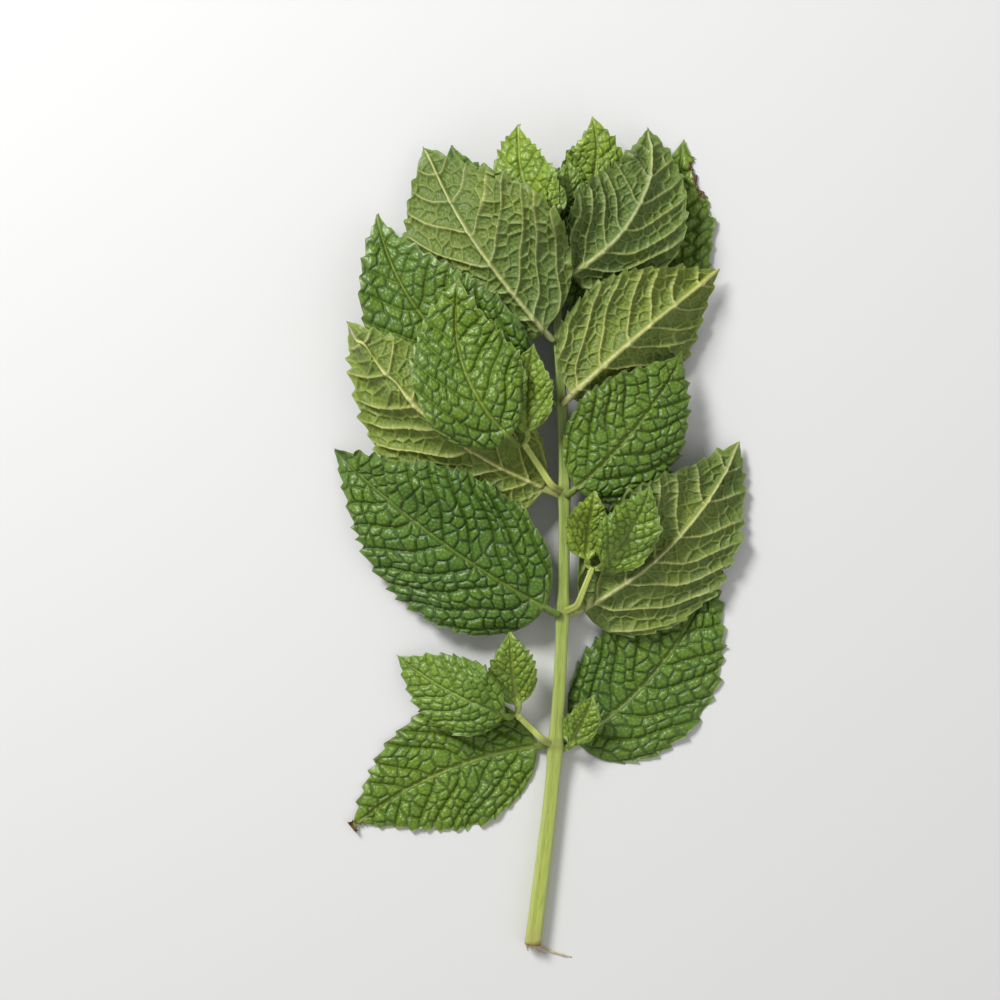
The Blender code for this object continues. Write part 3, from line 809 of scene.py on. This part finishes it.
# %% Upper face, underside and stalk
def two_faces(leaf, middle, relief, along, across, near_edge):
    """The leaf's upper and lower faces, in that order, whichever of them lies on top."""
    puff = PUFF.get(leaf.name, 1.1)
    underside_up = leaf.name in UPPER_FACES_DOWN
    facing = -1.0 if underside_up else 1.0
    normals = grid_normals(middle)
    stalk = stalk_share(along)
    rounded = np.sqrt(np.maximum(1 - across[None, :] ** 2, 0.0))
    thin = BLADE_THICKNESS * (1 - 0.7 * near_edge)
    thick = 0.5 * (thin * (1 - stalk) + (0.12 + 1.15 * rounded) * stalk)
    swell = relief.swell * (1 - stalk)
    upper = thick + swell - relief.groove * (1 - stalk)
    lower = -thick + swell - relief.ridge * (1 - 0.6 * stalk)
    mean = 0.4 * puff * (1 - stalk) * np.clip((middle[..., 2] - 0.3) / 1.5, 0, 1)
    faces = [middle + normals * (facing * (offset - mean))[..., None] for offset in (upper, lower)]
    above, below = faces[::-1] if underside_up else faces
    below[..., 2] = np.maximum(below[..., 2], FLOOR_CLEAR)
    above[..., 2] = np.maximum(above[..., 2], below[..., 2] + 0.45 * thin)
    return faces


def with_stalk(leaf, faces, first, forward):
    """Both faces with the stalk's own rows in front, which carry the first row back into the stem."""
    anchor = anchor_of(leaf)
    shares = np.linspace(0, 1, STALK_ROWS, endpoint=False)
    bend = first - forward * 0.45 * np.linalg.norm(first - anchor)
    spots = [(1 - s) ** 2 * anchor + 2 * s * (1 - s) * bend + s * s * first for s in shares]
    made = []
    for face in faces:
        shape = face[0] - first
        rows = np.array([spot + shape * (0.8 + 0.2 * s) for spot, s in zip(spots, shares)])
        made.append(np.concatenate([rows, face]))
    return made


def held_back(values):
    """A map with its first row repeated for each row of the stalk."""
    return np.concatenate([np.repeat(values[:1], STALK_ROWS, axis=0), values])


print("a stalk has", STALK_ROWS, "rows of its own")

# %% [markdown]
# ### Faces, flat coordinates and maps
#
# The last step turns points into a mesh. A leaf is nearly flat, so its own flat coordinates make the best
# UV map: nothing is stretched, and unwrapping by angle would only find the same answer slowly.

# %% The finished leaf
def leaf_faces(rows, columns, upper_is_top):
    """The quads of the upper face, the lower face and the rim between them."""
    count = rows * columns
    top = grid_faces(rows, columns, 0, upper_is_top)
    low = grid_faces(rows, columns, count, not upper_is_top)
    index = np.arange(count).reshape(rows, columns)
    loop = np.concatenate([index[:, 0], index[-1, 1:], index[-2::-1, -1], index[0, -2:0:-1], index[:1, 0]])
    rim = np.stack([loop[:-1], loop[1:], loop[1:] + count, loop[:-1] + count], axis=1)
    return top, low, rim if upper_is_top else rim[:, ::-1]


def leaf_uv(leaf, faces, flat_up, flat_out, upper_is_top):
    """Flat coordinates for baking: the upper face in the top half, the lower in the bottom half, and the
    rim in a strip under both."""
    top, low, rim = faces
    spread = max(leaf.length * 1.08, 2 * (leaf.width + 3)) + UV_MARGIN
    flat = np.stack([(0.01 + 0.97 * flat_up / spread).ravel(), (0.97 * flat_out / spread).ravel()], axis=1)
    uv = np.concatenate([flat + [0, 0.76], flat + [0, 0.27]])[np.concatenate(faces)]
    steps = np.linspace(0.01, 0.99, len(rim) + 1)
    corners = [(steps[:-1], 0.004), (steps[1:], 0.004), (steps[1:], 0.012), (steps[:-1], 0.012)]
    strip = np.stack([np.stack([u, np.full(len(rim), v)], axis=1) for u, v in corners], axis=1)
    uv[len(top) + len(low) :] = strip if upper_is_top else strip[:, ::-1]
    return uv.reshape(-1, 2)


def build_leaf(leaf, number, material):
    """The finished leaf, as a mesh object."""
    rows = int(leaf.length / GRID) + 2
    columns = 2 * int(leaf.width / GRID / 2) + 1
    along = np.linspace(0, 0.997, rows)
    across = np.linspace(-1, 1, columns)
    half = np.maximum(half_width_at(along, leaf.width), 0.012 * leaf.width)
    up = np.repeat((along * leaf.length)[:, None], columns, axis=1)
    out = across[None, :] * half[:, None]
    blade_up = up - PETIOLE_SHARE * leaf.length
    relief = leaf_relief(leaf, blade_up, out, half[:, None], PUFF.get(leaf.name, 1.1), number + 1)
    near_edge = np.clip(1 - (half[:, None] - np.abs(out)) / 2.0, 0, 1) ** 1.6
    withered = withering(leaf, along, across, half)
    middle, pull, forward = shaped_middle(leaf, number, along, across, half, near_edge, withered)
    both_faces = two_faces(leaf, middle, relief, along, across, near_edge)
    both_faces = with_stalk(leaf, both_faces, middle[0].mean(axis=0), forward)

    upper_is_top = leaf.name not in UPPER_FACES_DOWN
    points = metres(np.concatenate([face.reshape(-1, 3) for face in both_faces]))
    faces = leaf_faces(rows + STALK_ROWS, columns, upper_is_top)
    before = np.concatenate([-(STALK_ROWS - np.arange(STALK_ROWS)) * 0.25, np.zeros(rows)])[:, None]
    flat_up = held_back(up) + before + held_back(pull * 0.5) + UV_MARGIN
    flat_out = held_back(out + np.sign(across)[None, :] * pull * 0.85)
    uv = leaf_uv(leaf, faces, flat_up, flat_out, upper_is_top)

    stalk = stalk_share(along) * np.ones((rows, columns))
    maps = {
        "vein": relief.vein * (1 - 0.5 * stalk) + 0.5 * stalk,
        "midrib": np.maximum(relief.midrib, stalk),
        "cushion": relief.cushion * relief.crumb**0.5,
        "shade": relief.shade,
        "margin": np.clip(1 - (half[:, None] - np.abs(out)) / 0.55, 0, 1),
        "withered": withered,
        "ripeness": np.clip(ripe_share(number) + 0.3 * (0.5 - along[:, None]) + 0 * out, 0, 1),
    }
    attributes = {name: np.tile(held_back(values).ravel(), 2) for name, values in maps.items()}
    attributes["upper_face"] = np.repeat([1.0, 0.0], (rows + STALK_ROWS) * columns)
    return mesh_object(leaf.name + "_blade", points, np.concatenate(faces), uv, attributes, material)


print(big.name, "will have", int(big.length / GRID) + 2 + STALK_ROWS, "rows of points")

# %% [markdown]
# ## The stem
#
# A mint stem is square, with soft corners and a shallow channel down each face. It swells where a pair of
# leaves grows and carries a fine ring across there. A beveled curve can't change its section like that, so
# the stem is lofted: one ring of points after another along its route, each ring drawn from one formula.

# %% A lofted square stem
AROUND = 56
RING_STEP = 2.0 * GRID


def square_ring(angle, channel):
    """The distance from a soft-cornered square's middle to its side, with a shallow channel on each face."""
    square = (np.abs(np.cos(angle)) ** 3.6 + np.abs(np.sin(angle)) ** 3.6) ** (-1 / 3.6)
    return square - channel * np.cos(2 * angle) ** 4


def loft(name, line, halves, marks, attributes_of, material, seed):
    """A closed stem through a line of middles. marks are the distances at which a ring crosses it."""
    rng = np.random.default_rng(seed)
    steps = np.linalg.norm(np.diff(line, axis=0), axis=1)
    along = np.concatenate([[0], np.cumsum(steps)])
    angle = np.linspace(0, 2 * math.pi, AROUND, endpoint=False)
    ahead = np.gradient(line, axis=0)
    ahead /= np.linalg.norm(ahead, axis=1, keepdims=True)
    side = np.cross(ahead, (0, 0, 1))
    side /= np.linalg.norm(side, axis=1, keepdims=True)
    up = np.cross(side, ahead)
    streaks = 0
    for k in range(5, 18):
        across = np.sin(angle * k + rng.uniform(0, 6.28))
        lengthways = np.cos(along / rng.uniform(9, 30) + rng.uniform(0, 6.28))
        streaks = streaks + across[None, :] * lengthways[:, None]
    ring = np.zeros(len(line))
    for mark in marks:
        ring += soft(along - mark, 0.32) - 0.5 * soft(along - mark - 0.55, 0.4)
    radius = halves[:, None] * square_ring(angle, 0.07)[None, :]
    radius = radius * (1 + 0.006 * streaks) + 0.15 * ring[:, None]
    spots = line[:, None] + radius[..., None] * (
        np.cos(angle)[None, :, None] * side[:, None] + np.sin(angle)[None, :, None] * up[:, None]
    )
    spots[..., 2] = np.maximum(spots[..., 2], FLOOR_CLEAR)

    # Each end is closed with rings that shrink to a rough face.
    shrink = np.array([0.93, 0.8, 0.62, 0.44, 0.26, 0.05])
    sink = np.array([-0.06, 0.05, 0.16, 0.2, 0.24, 0.26])
    rough = rng.uniform(-0.05, 0.05, (len(shrink), AROUND))
    first, last = spots[0].mean(0), spots[-1].mean(0)
    start = [
        first + (spots[0] - first) * k + ahead[0] * (d + r[:, None])
        for k, d, r in zip(shrink, sink, rough)
    ]
    end = [last + (spots[-1] - last) * k - ahead[-1] * (d - 0.2) for k, d in zip(shrink, sink)]
    spots = np.concatenate([np.array(start)[::-1], spots, np.array(end)])
    cap = len(shrink)
    along = np.concatenate([np.full(cap, 0.0), along, np.full(cap, along[-1])])
    cut = np.concatenate([np.ones(cap), np.zeros(len(line) + cap)])
    rows = len(spots)
    index = np.arange(rows * AROUND).reshape(rows, AROUND)
    right = np.roll(index, -1, axis=1)
    faces = np.stack([index[:-1], right[:-1], right[1:], index[1:]], axis=-1).reshape(-1, 4)

    # Baking coordinates: the length is folded into strips, one above another.
    folds = max(1, int(round(math.sqrt(along[-1] / 13))))
    row_of = np.repeat(np.arange(rows - 1), AROUND)
    column_of = np.tile(np.arange(AROUND), rows - 1)
    per_fold = math.ceil((rows - 1) / folds)
    fold = row_of // per_fold
    u0 = (row_of - fold * per_fold) / per_fold * 0.96 + 0.02
    u1 = u0 + 0.96 / per_fold
    tall = 0.94 / folds
    v0 = 0.02 + fold / folds + column_of / AROUND * tall
    v1 = v0 + tall / AROUND
    uv = np.stack([np.stack(pair, axis=1) for pair in ((u0, v0), (u0, v1), (u1, v1), (u1, v0))], axis=1)
    uv = uv[:, ::-1].reshape(-1, 2)

    shape = (rows, AROUND)
    corner = np.broadcast_to(np.cos(2 * angle)[None, :] ** 2, shape)
    attributes = {
        "distance": np.broadcast_to((along * MM)[:, None], shape).ravel(),
        "cut": np.broadcast_to(cut[:, None], shape).ravel(),
        "corner": 1 - corner.ravel(),
        "round": np.broadcast_to((angle / (2 * math.pi))[None, :], shape).ravel(),
        "ring": np.broadcast_to(np.interp(along, *attributes_of)[:, None], shape).ravel(),
    }
    return mesh_object(name, metres(spots.reshape(-1, 3)), faces[:, ::-1], uv, attributes, material)


def build_stem(material):
    """The main stem."""
    alongs = np.linspace(0, STEM_LENGTH, int(STEM_LENGTH / RING_STEP))
    line = np.array([stem_middle(a) for a in alongs])
    halves = np.array([stem_half_width(a) for a in alongs])
    joints = [j + 0.4 for j in LEAF_JOINTS[:-1]]
    ring = sum(soft(alongs - j, 1.6) for j in joints)
    return loft("square_stem", line, halves, joints, (alongs, ring), material, 3)


def build_shoot(shoot, material):
    """A side shoot's stem, started inside the main stem and ended at its leaves."""
    root = stem_middle(LEAF_JOINTS[shoot.joint])
    inside = root + np.array([-shoot.side * 0.3 * stem_half_width(LEAF_JOINTS[shoot.joint]), 0.4, 0.2])
    laid_line = laid[shoot.name]
    line = smooth_route([inside, 0.5 * (inside + laid_line[0]) + [0, -0.2, 0.15], *laid_line[::4]], 12)
    halves = np.linspace(0.56, 0.4, len(line)) * shoot.width
    ring = np.zeros(len(line))
    length = np.linalg.norm(np.diff(line, axis=0), axis=1).sum()
    rings = (np.arange(len(line)), ring)
    return loft(shoot.name + "_stem", line, halves, [length - 0.8], rings, material, 11)


TORN_FIBRES = (
    ((-0.6, 0.8, 1.0), (0.3, -0.7, 0.5), (1.9, -1.7, 0.2), (4.4, -2.3, 0.5), (6.3, -2.9, 0.16)),
    ((-1.9, 0.7, 1.6), (-1.6, -0.6, 1.1), (-0.6, -1.6, 0.4), (0.9, -2.2, 0.16)),
    ((-2.6, 0.9, 0.7), (-2.9, -0.4, 0.3), (-2.7, -1.3, 0.16)),
)


def build_fibre(number, strand, material):
    """One thread torn loose at the cut, thinning to its end."""
    line = smooth_route(strand, 16)
    halves = np.linspace(0.3, 0.1, len(line)) * (1 + 0.2 * np.sin(np.arange(len(line)) / 2.5))
    return loft(f"torn_fibre_{number + 1}", line, halves, [], ([0, 1], [0, 0]), material, 20 + number)


print("a stem ring has", AROUND, "points")

# %% [markdown]
# ## Colouring helpers
#
# Blender's shader nodes are wired up here with a few short helpers, so that each material reads as a list
# of what it does.

# %% Node helpers
def node(tree, kind, **settings):
    """Adds a node and sets its properties, or its inputs where the name is an input's."""
    made = tree.nodes.new(kind)
    for key, value in settings.items():
        setattr(made, key, value)
    return made


def wire(tree, *pairs):
    """Links outputs to inputs."""
    for source, target in pairs:
        tree.links.new(source, target)


def map_value(tree, source, low, high, to_low=0.0, to_high=1.0):
    """A value moved from one range to another and held inside it."""
    made = node(tree, "ShaderNodeMapRange", clamp=True)
    made.inputs["From Min"].default_value = low
    made.inputs["From Max"].default_value = high
    made.inputs["To Min"].default_value = to_low
    made.inputs["To Max"].default_value = to_high
    wire(tree, (source, made.inputs["Value"]))
    return made.outputs["Result"]


def blend_colours(tree, share, first, second, how="MIX"):
    """A mix of two colours, given as sockets or as tuples."""
    made = node(tree, "ShaderNodeMix", data_type="RGBA", blend_type=how)
    for value, name in ((share, "Factor"), (first, "A"), (second, "B")):
        socket = made.inputs[name]
        if isinstance(value, (int, float)):
            socket.default_value = value
        elif isinstance(value, tuple):
            socket.default_value = (*value, 1.0)
        else:
            wire(tree, (value, socket))
    return made.outputs["Result"]


def blend_values(tree, share, first, second):
    """A mix of two values."""
    made = node(tree, "ShaderNodeMix", data_type="FLOAT")
    wire(tree, (share, made.inputs["Factor"]), (first, made.inputs["A"]), (second, made.inputs["B"]))
    return made.outputs["Result"]


def compute(tree, operation, first, second=0.0):
    """A math node on sockets or numbers."""
    made = node(tree, "ShaderNodeMath", operation=operation)
    for value, socket in ((first, made.inputs[0]), (second, made.inputs[1])):
        if isinstance(value, (int, float)):
            socket.default_value = value
        else:
            wire(tree, (value, socket))
    return made.outputs["Value"]


def attribute(tree, name):
    """The value of a map stored on the mesh."""
    return node(tree, "ShaderNodeAttribute", attribute_name=name).outputs["Fac"]


def noise(tree, scale, detail=3.0, roughness=0.55):
    """Cloudy noise fixed to the object."""
    place = node(tree, "ShaderNodeTexCoord")
    made = node(tree, "ShaderNodeTexNoise")
    made.inputs["Scale"].default_value = scale
    made.inputs["Detail"].default_value = detail
    made.inputs["Roughness"].default_value = roughness
    wire(tree, (place.outputs["Object"], made.inputs["Vector"]))
    return made.outputs["Fac"]


print("colouring helpers are ready")

# %% [markdown]
# ## Leaf colour, as one shader group
#
# All the leaves share one recipe and differ in age. Painted shade darkens the grooves against the lighter,
# yellower crowns of the cushions, painted shade darkens the hollows of the underside, the veins on the
# underside are creamy, and the very margin is thin and pale. Painted patches of sun and shade and a slightly
# different green for each cell keep it from looking printed.
# The group reads the maps stored on the mesh and puts out a colour, a roughness and a fine height.

# %% The leaf group
LEAF_COLOURS = (
    "Groove Shade Green",
    "Crown Green",
    "Hollow Shade Green",
    "Underside Green",
    "Vein Cream",
    "Upper Vein",
)


def leaf_group():
    """Colour, roughness and fine relief of a mint leaf's two faces."""
    tree = bpy.data.node_groups.new("mint_leaf_skin", "ShaderNodeTree")
    for name in LEAF_COLOURS:
        tree.interface.new_socket(name, in_out="INPUT", socket_type="NodeSocketColor")
    for name in ("Color", "Roughness", "Fine Height"):
        kind = "NodeSocketColor" if name == "Color" else "NodeSocketFloat"
        tree.interface.new_socket(name, in_out="OUTPUT", socket_type=kind)
    take, give = node(tree, "NodeGroupInput"), node(tree, "NodeGroupOutput")
    groove, crown_green, hollow, under, cream, upper_vein = (take.outputs[name] for name in LEAF_COLOURS)
    cushion, vein = attribute(tree, "cushion"), attribute(tree, "vein")
    midrib, shade = attribute(tree, "midrib"), attribute(tree, "shade")
    margin, upper_face = attribute(tree, "margin"), attribute(tree, "upper_face")
    withered, ripeness = attribute(tree, "withered"), attribute(tree, "ripeness")
    patches = noise(tree, 55.0, 4.0)
    speckle = noise(tree, 900.0, 3.0)
    grain = noise(tree, 4200.0, 2.0)

    # Upper face: painted shade darkens the grooves, and the crowns of the cushions are lighter and yellower.
    crown = map_value(tree, cushion, 0.0, 0.8)
    upper = blend_colours(tree, crown, groove, crown_green)
    upper = blend_colours(tree, map_value(tree, midrib, 0.25, 0.95, 0.0, 0.65), upper, upper_vein)
    side_line = map_value(tree, vein, 0.5, 0.8, 0.0, 0.4)
    upper = blend_colours(tree, side_line, upper, upper_vein)

    # Underside: painted shade darkens the hollows between the veins, and the veins are creamy.
    flesh = blend_colours(tree, map_value(tree, cushion, 0.15, 1.0), under, hollow)
    line = map_value(tree, vein, 0.15, 0.95, 0.0, 1.0)
    flesh = blend_colours(tree, compute(tree, "POWER", line, 1.9), flesh, cream)

    both = blend_colours(tree, upper_face, flesh, upper)
    sun, patch_shade, light, dust = (0.66, 0.6, 0.36), (0.3, 0.36, 0.3), (0.72, 0.68, 0.5), (0.36, 0.4, 0.36)
    # Painted light and shade: cloudy patches of painted sun and painted shade.
    both = blend_colours(tree, map_value(tree, patches, 0.45, 0.75, 0.0, 0.6), both, sun, "SOFT_LIGHT")
    both = blend_colours(tree, map_value(tree, patches, 0.5, 0.25, 0.0, 0.6), both, patch_shade, "SOFT_LIGHT")
    both = blend_colours(tree, map_value(tree, shade, 0.3, 0.9, 0.0, 0.5), both, light, "SOFT_LIGHT")
    both = blend_colours(tree, map_value(tree, speckle, 0.35, 0.75, 0.0, 0.45), both, dust, "SOFT_LIGHT")
    both = blend_colours(tree, map_value(tree, margin, 0.2, 1.0, 0.0, 0.4), both, (0.24, 0.32, 0.09))
    ripe, fresh = (0.33, 0.38, 0.36), (0.68, 0.64, 0.42)
    both = blend_colours(tree, map_value(tree, ripeness, 0.5, 1.0, 0.0, 0.75), both, ripe, "SOFT_LIGHT")
    both = blend_colours(tree, map_value(tree, ripeness, 0.5, 0.0, 0.0, 0.7), both, fresh, "SOFT_LIGHT")
    rusty = compute(tree, "MULTIPLY", withered, map_value(tree, speckle, 0.3, 0.6, 0.7, 1.0))
    both = blend_colours(tree, map_value(tree, rusty, 0.02, 0.3), both, (0.2, 0.22, 0.05))
    both = blend_colours(tree, map_value(tree, rusty, 0.25, 0.8), both, (0.11, 0.05, 0.018))

    gloss = map_value(tree, cushion, 0.0, 1.0, 0.52, 0.34)
    matt = map_value(tree, vein, 0.0, 1.0, 0.6, 0.48)
    rough = blend_values(tree, upper_face, matt, gloss)
    rough = compute(tree, "ADD", rough, map_value(tree, speckle, 0.2, 0.8, -0.06, 0.08))
    coarse, finest = compute(tree, "MULTIPLY", speckle, 0.7), compute(tree, "MULTIPLY", grain, 0.35)
    wire(
        tree,
        (both, give.inputs["Color"]),
        (rough, give.inputs["Roughness"]),
        (compute(tree, "ADD", coarse, finest), give.inputs["Fine Height"]),
    )
    return tree


skin_group = leaf_group()
print("the leaf group has", len(skin_group.nodes), "nodes")

# %% [markdown]
# ### Grown and young leaves
#
# Two materials use the group. They differ in their six greens only: young leaves are brighter and yellower,
# and get less painted shade in the grooves. What is the same all over a leaf, such as the thin waxy coat, is
# set on the shader itself.

# %% Leaf materials
def leaf_material(name, group, greens):
    """One age of leaf: the shared group, given its own greens."""
    material = bpy.data.materials.new(name)
    material.use_nodes = True
    tree = material.node_tree
    shader = tree.nodes["Principled BSDF"]
    skin = node(tree, "ShaderNodeGroup", node_tree=group)
    for socket, colour in greens.items():
        skin.inputs[socket].default_value = (*colour, 1.0)
    bump = node(tree, "ShaderNodeBump")
    bump.inputs["Strength"].default_value = 0.35
    bump.inputs["Distance"].default_value = 0.00012
    wire(
        tree,
        (skin.outputs["Color"], shader.inputs["Base Color"]),
        (skin.outputs["Roughness"], shader.inputs["Roughness"]),
        (skin.outputs["Fine Height"], bump.inputs["Height"]),
        (bump.outputs["Normal"], shader.inputs["Normal"]),
    )
    shader.inputs["IOR"].default_value = 1.42
    shader.inputs["Coat Weight"].default_value = 0.12
    shader.inputs["Coat Roughness"].default_value = 0.3
    return material


# The groove and hollow greens are darker greens that paint shade into the grooves and hollows.
GROWN = {
    "Groove Shade Green": (0.036, 0.072, 0.008),
    "Crown Green": (0.108, 0.2, 0.02),
    "Hollow Shade Green": (0.098, 0.15, 0.026),
    "Underside Green": (0.14, 0.2, 0.04),
    "Vein Cream": (0.4, 0.42, 0.19),
    "Upper Vein": (0.17, 0.24, 0.04),
}
YOUNG = {
    "Groove Shade Green": (0.075, 0.135, 0.012),
    "Crown Green": (0.19, 0.29, 0.03),
    "Hollow Shade Green": (0.14, 0.21, 0.035),
    "Underside Green": (0.2, 0.28, 0.055),
    "Vein Cream": (0.45, 0.48, 0.2),
    "Upper Vein": (0.27, 0.35, 0.075),
}
grown_leaf = leaf_material("grown_leaf_green", skin_group, GROWN)
young_leaf = leaf_material("young_leaf_green", skin_group, YOUNG)
print("leaf materials:", grown_leaf.name, young_leaf.name)

# %% [markdown]
# ## Stem colour
#
# The stem is pale yellow-green where it was shaded low in the bunch and greener above. Fine streaks run
# along it, its corners are painted paler as a painted highlight where they catch the light, and each joint
# is a little darker. At the cut it has started to brown: a ring of dry skin around paler pith.

# %% The stem's material
def stem_material():
    """Streaked green skin that browns at the cut."""
    material = bpy.data.materials.new("fresh_stem_green")
    material.use_nodes = True
    tree = material.node_tree
    shader = tree.nodes["Principled BSDF"]
    distance, corner = attribute(tree, "distance"), attribute(tree, "corner")
    cut, around, ring = attribute(tree, "cut"), attribute(tree, "round"), attribute(tree, "ring")
    where = node(tree, "ShaderNodeCombineXYZ")
    wire(tree, (compute(tree, "MULTIPLY", around, 60.0), where.inputs["X"]))
    wire(tree, (compute(tree, "MULTIPLY", distance, 260.0), where.inputs["Y"]))
    streak = node(tree, "ShaderNodeTexNoise")
    streak.inputs["Scale"].default_value = 1.0
    streak.inputs["Detail"].default_value = 4.0
    wire(tree, (where.outputs["Vector"], streak.inputs["Vector"]))
    patches = noise(tree, 130.0, 4.0)

    lines = streak.outputs["Fac"]
    low_green, high_green = (0.36, 0.42, 0.07), (0.18, 0.29, 0.05)
    pale, deep = (0.47, 0.5, 0.16), (0.15, 0.27, 0.04)
    colour = blend_colours(tree, map_value(tree, distance, 0.01, 0.12), low_green, high_green)
    colour = blend_colours(tree, map_value(tree, lines, 0.35, 0.7, 0.0, 0.5), colour, pale)
    colour = blend_colours(tree, map_value(tree, lines, 0.5, 0.25, 0.0, 0.6), colour, deep)
    # Painted highlight: the corners are painted paler where they catch the light.
    colour = blend_colours(tree, map_value(tree, corner, 0.5, 1.0, 0.0, 0.25), colour, (0.5, 0.56, 0.24))
    colour = blend_colours(tree, map_value(tree, ring, 0.2, 1.0, 0.0, 0.5), colour, (0.17, 0.19, 0.05))

    # Browning from the cut upwards, old scars, and the pith in the cut face.
    ragged = compute(tree, "ADD", distance, map_value(tree, patches, 0.3, 0.7, -0.0012, 0.0012))
    drying = map_value(tree, ragged, 0.006, 0.0008, 0.0, 0.55)
    colour = blend_colours(tree, drying, colour, (0.4, 0.36, 0.12))
    rim = map_value(tree, ragged, 0.0016, 0.0004, 0.0, 0.95)
    colour = blend_colours(tree, rim, colour, (0.2, 0.095, 0.025))
    pith = blend_colours(tree, patches, (0.42, 0.3, 0.13), (0.68, 0.6, 0.34))
    scars = noise(tree, 320.0, 5.0, 0.7)
    colour = blend_colours(tree, map_value(tree, scars, 0.66, 0.72, 0.0, 0.55), colour, (0.3, 0.2, 0.08))
    colour = blend_colours(tree, cut, colour, pith)
    sheen = map_value(tree, lines, 0.2, 0.8, 0.36, 0.5)
    rough = compute(tree, "ADD", sheen, compute(tree, "MULTIPLY", cut, 0.3))
    bump = node(tree, "ShaderNodeBump")
    bump.inputs["Strength"].default_value = 0.5
    bump.inputs["Distance"].default_value = 0.00012
    wire(
        tree,
        (colour, shader.inputs["Base Color"]),
        (rough, shader.inputs["Roughness"]),
        (streak.outputs["Fac"], bump.inputs["Height"]),
        (bump.outputs["Normal"], shader.inputs["Normal"]),
    )
    shader.inputs["IOR"].default_value = 1.42
    return material


def fibre_material():
    """Dry pale threads, browner in places."""
    material = bpy.data.materials.new("dry_fibre")
    material.use_nodes = True
    tree = material.node_tree
    shader = tree.nodes["Principled BSDF"]
    patches, hair = noise(tree, 420.0, 4.0), noise(tree, 2600.0, 2.0)
    colour = blend_colours(tree, map_value(tree, patches, 0.35, 0.65), (0.46, 0.36, 0.17), (0.62, 0.56, 0.34))
    bump = node(tree, "ShaderNodeBump")
    bump.inputs["Strength"].default_value = 0.5
    bump.inputs["Distance"].default_value = 0.0001
    wire(
        tree,
        (colour, shader.inputs["Base Color"]),
        (map_value(tree, hair, 0.2, 0.8, 0.55, 0.8), shader.inputs["Roughness"]),
        (hair, bump.inputs["Height"]),
        (bump.outputs["Normal"], shader.inputs["Normal"]),
    )
    return material


stem_skin = stem_material()
dry_fibre = fibre_material()
print("stem materials:", stem_skin.name, dry_fibre.name)

# %% [markdown]
# ## Putting the sprig together
#
# Each piece hides the simple solid of the frame that it takes the place of, is given its material, and is
# attached to the body that carries it. The torn fibres and the bud leaves belong to the stem.

# %% Grow the stem, the shoots and the leaves
pieces = []
stem = build_stem(stem_skin)
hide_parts("stem")
pieces.append(stem)
for shoot in SHOOTS:
    made = build_shoot(shoot, stem_skin)
    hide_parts(shoot.name)
    pieces.append(made)
for number, strand in enumerate(TORN_FIBRES):
    made = build_fibre(number, strand, dry_fibre)
    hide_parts("stem")
    pieces.append(made)
for number, leaf in enumerate((*LEAVES, *BUD_LEAVES)):
    young = leaf.length < 28
    made = build_leaf(leaf, number, young_leaf if young else grown_leaf)
    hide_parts("stem" if leaf in BUD_LEAVES else leaf.name)
    pieces.append(made)
for piece in pieces:
    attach(piece, "root")
print(len(pieces), "pieces,", sum(len(p.data.polygons) for p in pieces), "faces")

# %% [markdown]
# ## Table, light and camera
#
# The table is a plain pale sheet. A large soft lamp high on the left models the cushions without hard
# shadows, a weaker one opposite keeps the shaded sides readable, and the sky fills in. The camera hangs
# straight above.

# %% Stage and camera
middle = Vector([(a + b) / 2 for a, b in zip(*cad_box)])
bpy.ops.mesh.primitive_plane_add(size=6.0, location=(middle.x, middle.y, 0.0))
floor = bpy.context.object
floor.name = "table"
sheet = bpy.data.materials.new("pale_table")
sheet.use_nodes = True
sheet.node_tree.nodes["Principled BSDF"].inputs["Base Color"].default_value = (0.68, 0.68, 0.67, 1.0)
sheet.node_tree.nodes["Principled BSDF"].inputs["Roughness"].default_value = 0.9
floor.data.materials.append(sheet)


def soft_lamp(name, place, size, power):
    """A square lamp that shines on the middle of the sprig."""
    lamp = bpy.data.lights.new(name, "AREA")
    lamp.energy = power
    lamp.size = size
    made = bpy.data.objects.new(name, lamp)
    made.location = middle + Vector(place)
    made.rotation_euler = Vector(place).to_track_quat("Z", "Y").to_euler()
    bpy.context.scene.collection.objects.link(made)
    return made


soft_lamp("key_lamp", (-0.42, 0.5, 0.55), 0.26, 8.0)
soft_lamp("fill_lamp", (0.6, -0.35, 0.6), 0.8, 1.3)
world = bpy.data.worlds.new("studio")
world.use_nodes = True
world.node_tree.nodes["Background"].inputs["Color"].default_value = (1.0, 1.0, 1.0, 1.0)
world.node_tree.nodes["Background"].inputs["Strength"].default_value = 0.42
bpy.context.scene.world = world
bpy.context.scene.view_settings.view_transform = "Standard"

FRAME_WIDTH = 0.208
LENS = 85.0
SENSOR = 36.0
CUT_END_IN_FRAME = (0.533, 0.948)
lens = bpy.data.cameras.new("camera")
lens.lens = LENS
lens.sensor_width = SENSOR
camera = bpy.data.objects.new("camera", lens)
bpy.context.scene.collection.objects.link(camera)
cut_end = metres(STEM_LINE[0])
camera.location = (
    cut_end[0] + (0.5 - CUT_END_IN_FRAME[0]) * FRAME_WIDTH,
    cut_end[1] + (CUT_END_IN_FRAME[1] - 0.5) * FRAME_WIDTH,
    FRAME_WIDTH * LENS / SENSOR + 0.006,
)
bpy.context.scene.camera = camera
print("the camera hangs", round(camera.location.z, 3), "m above the table")
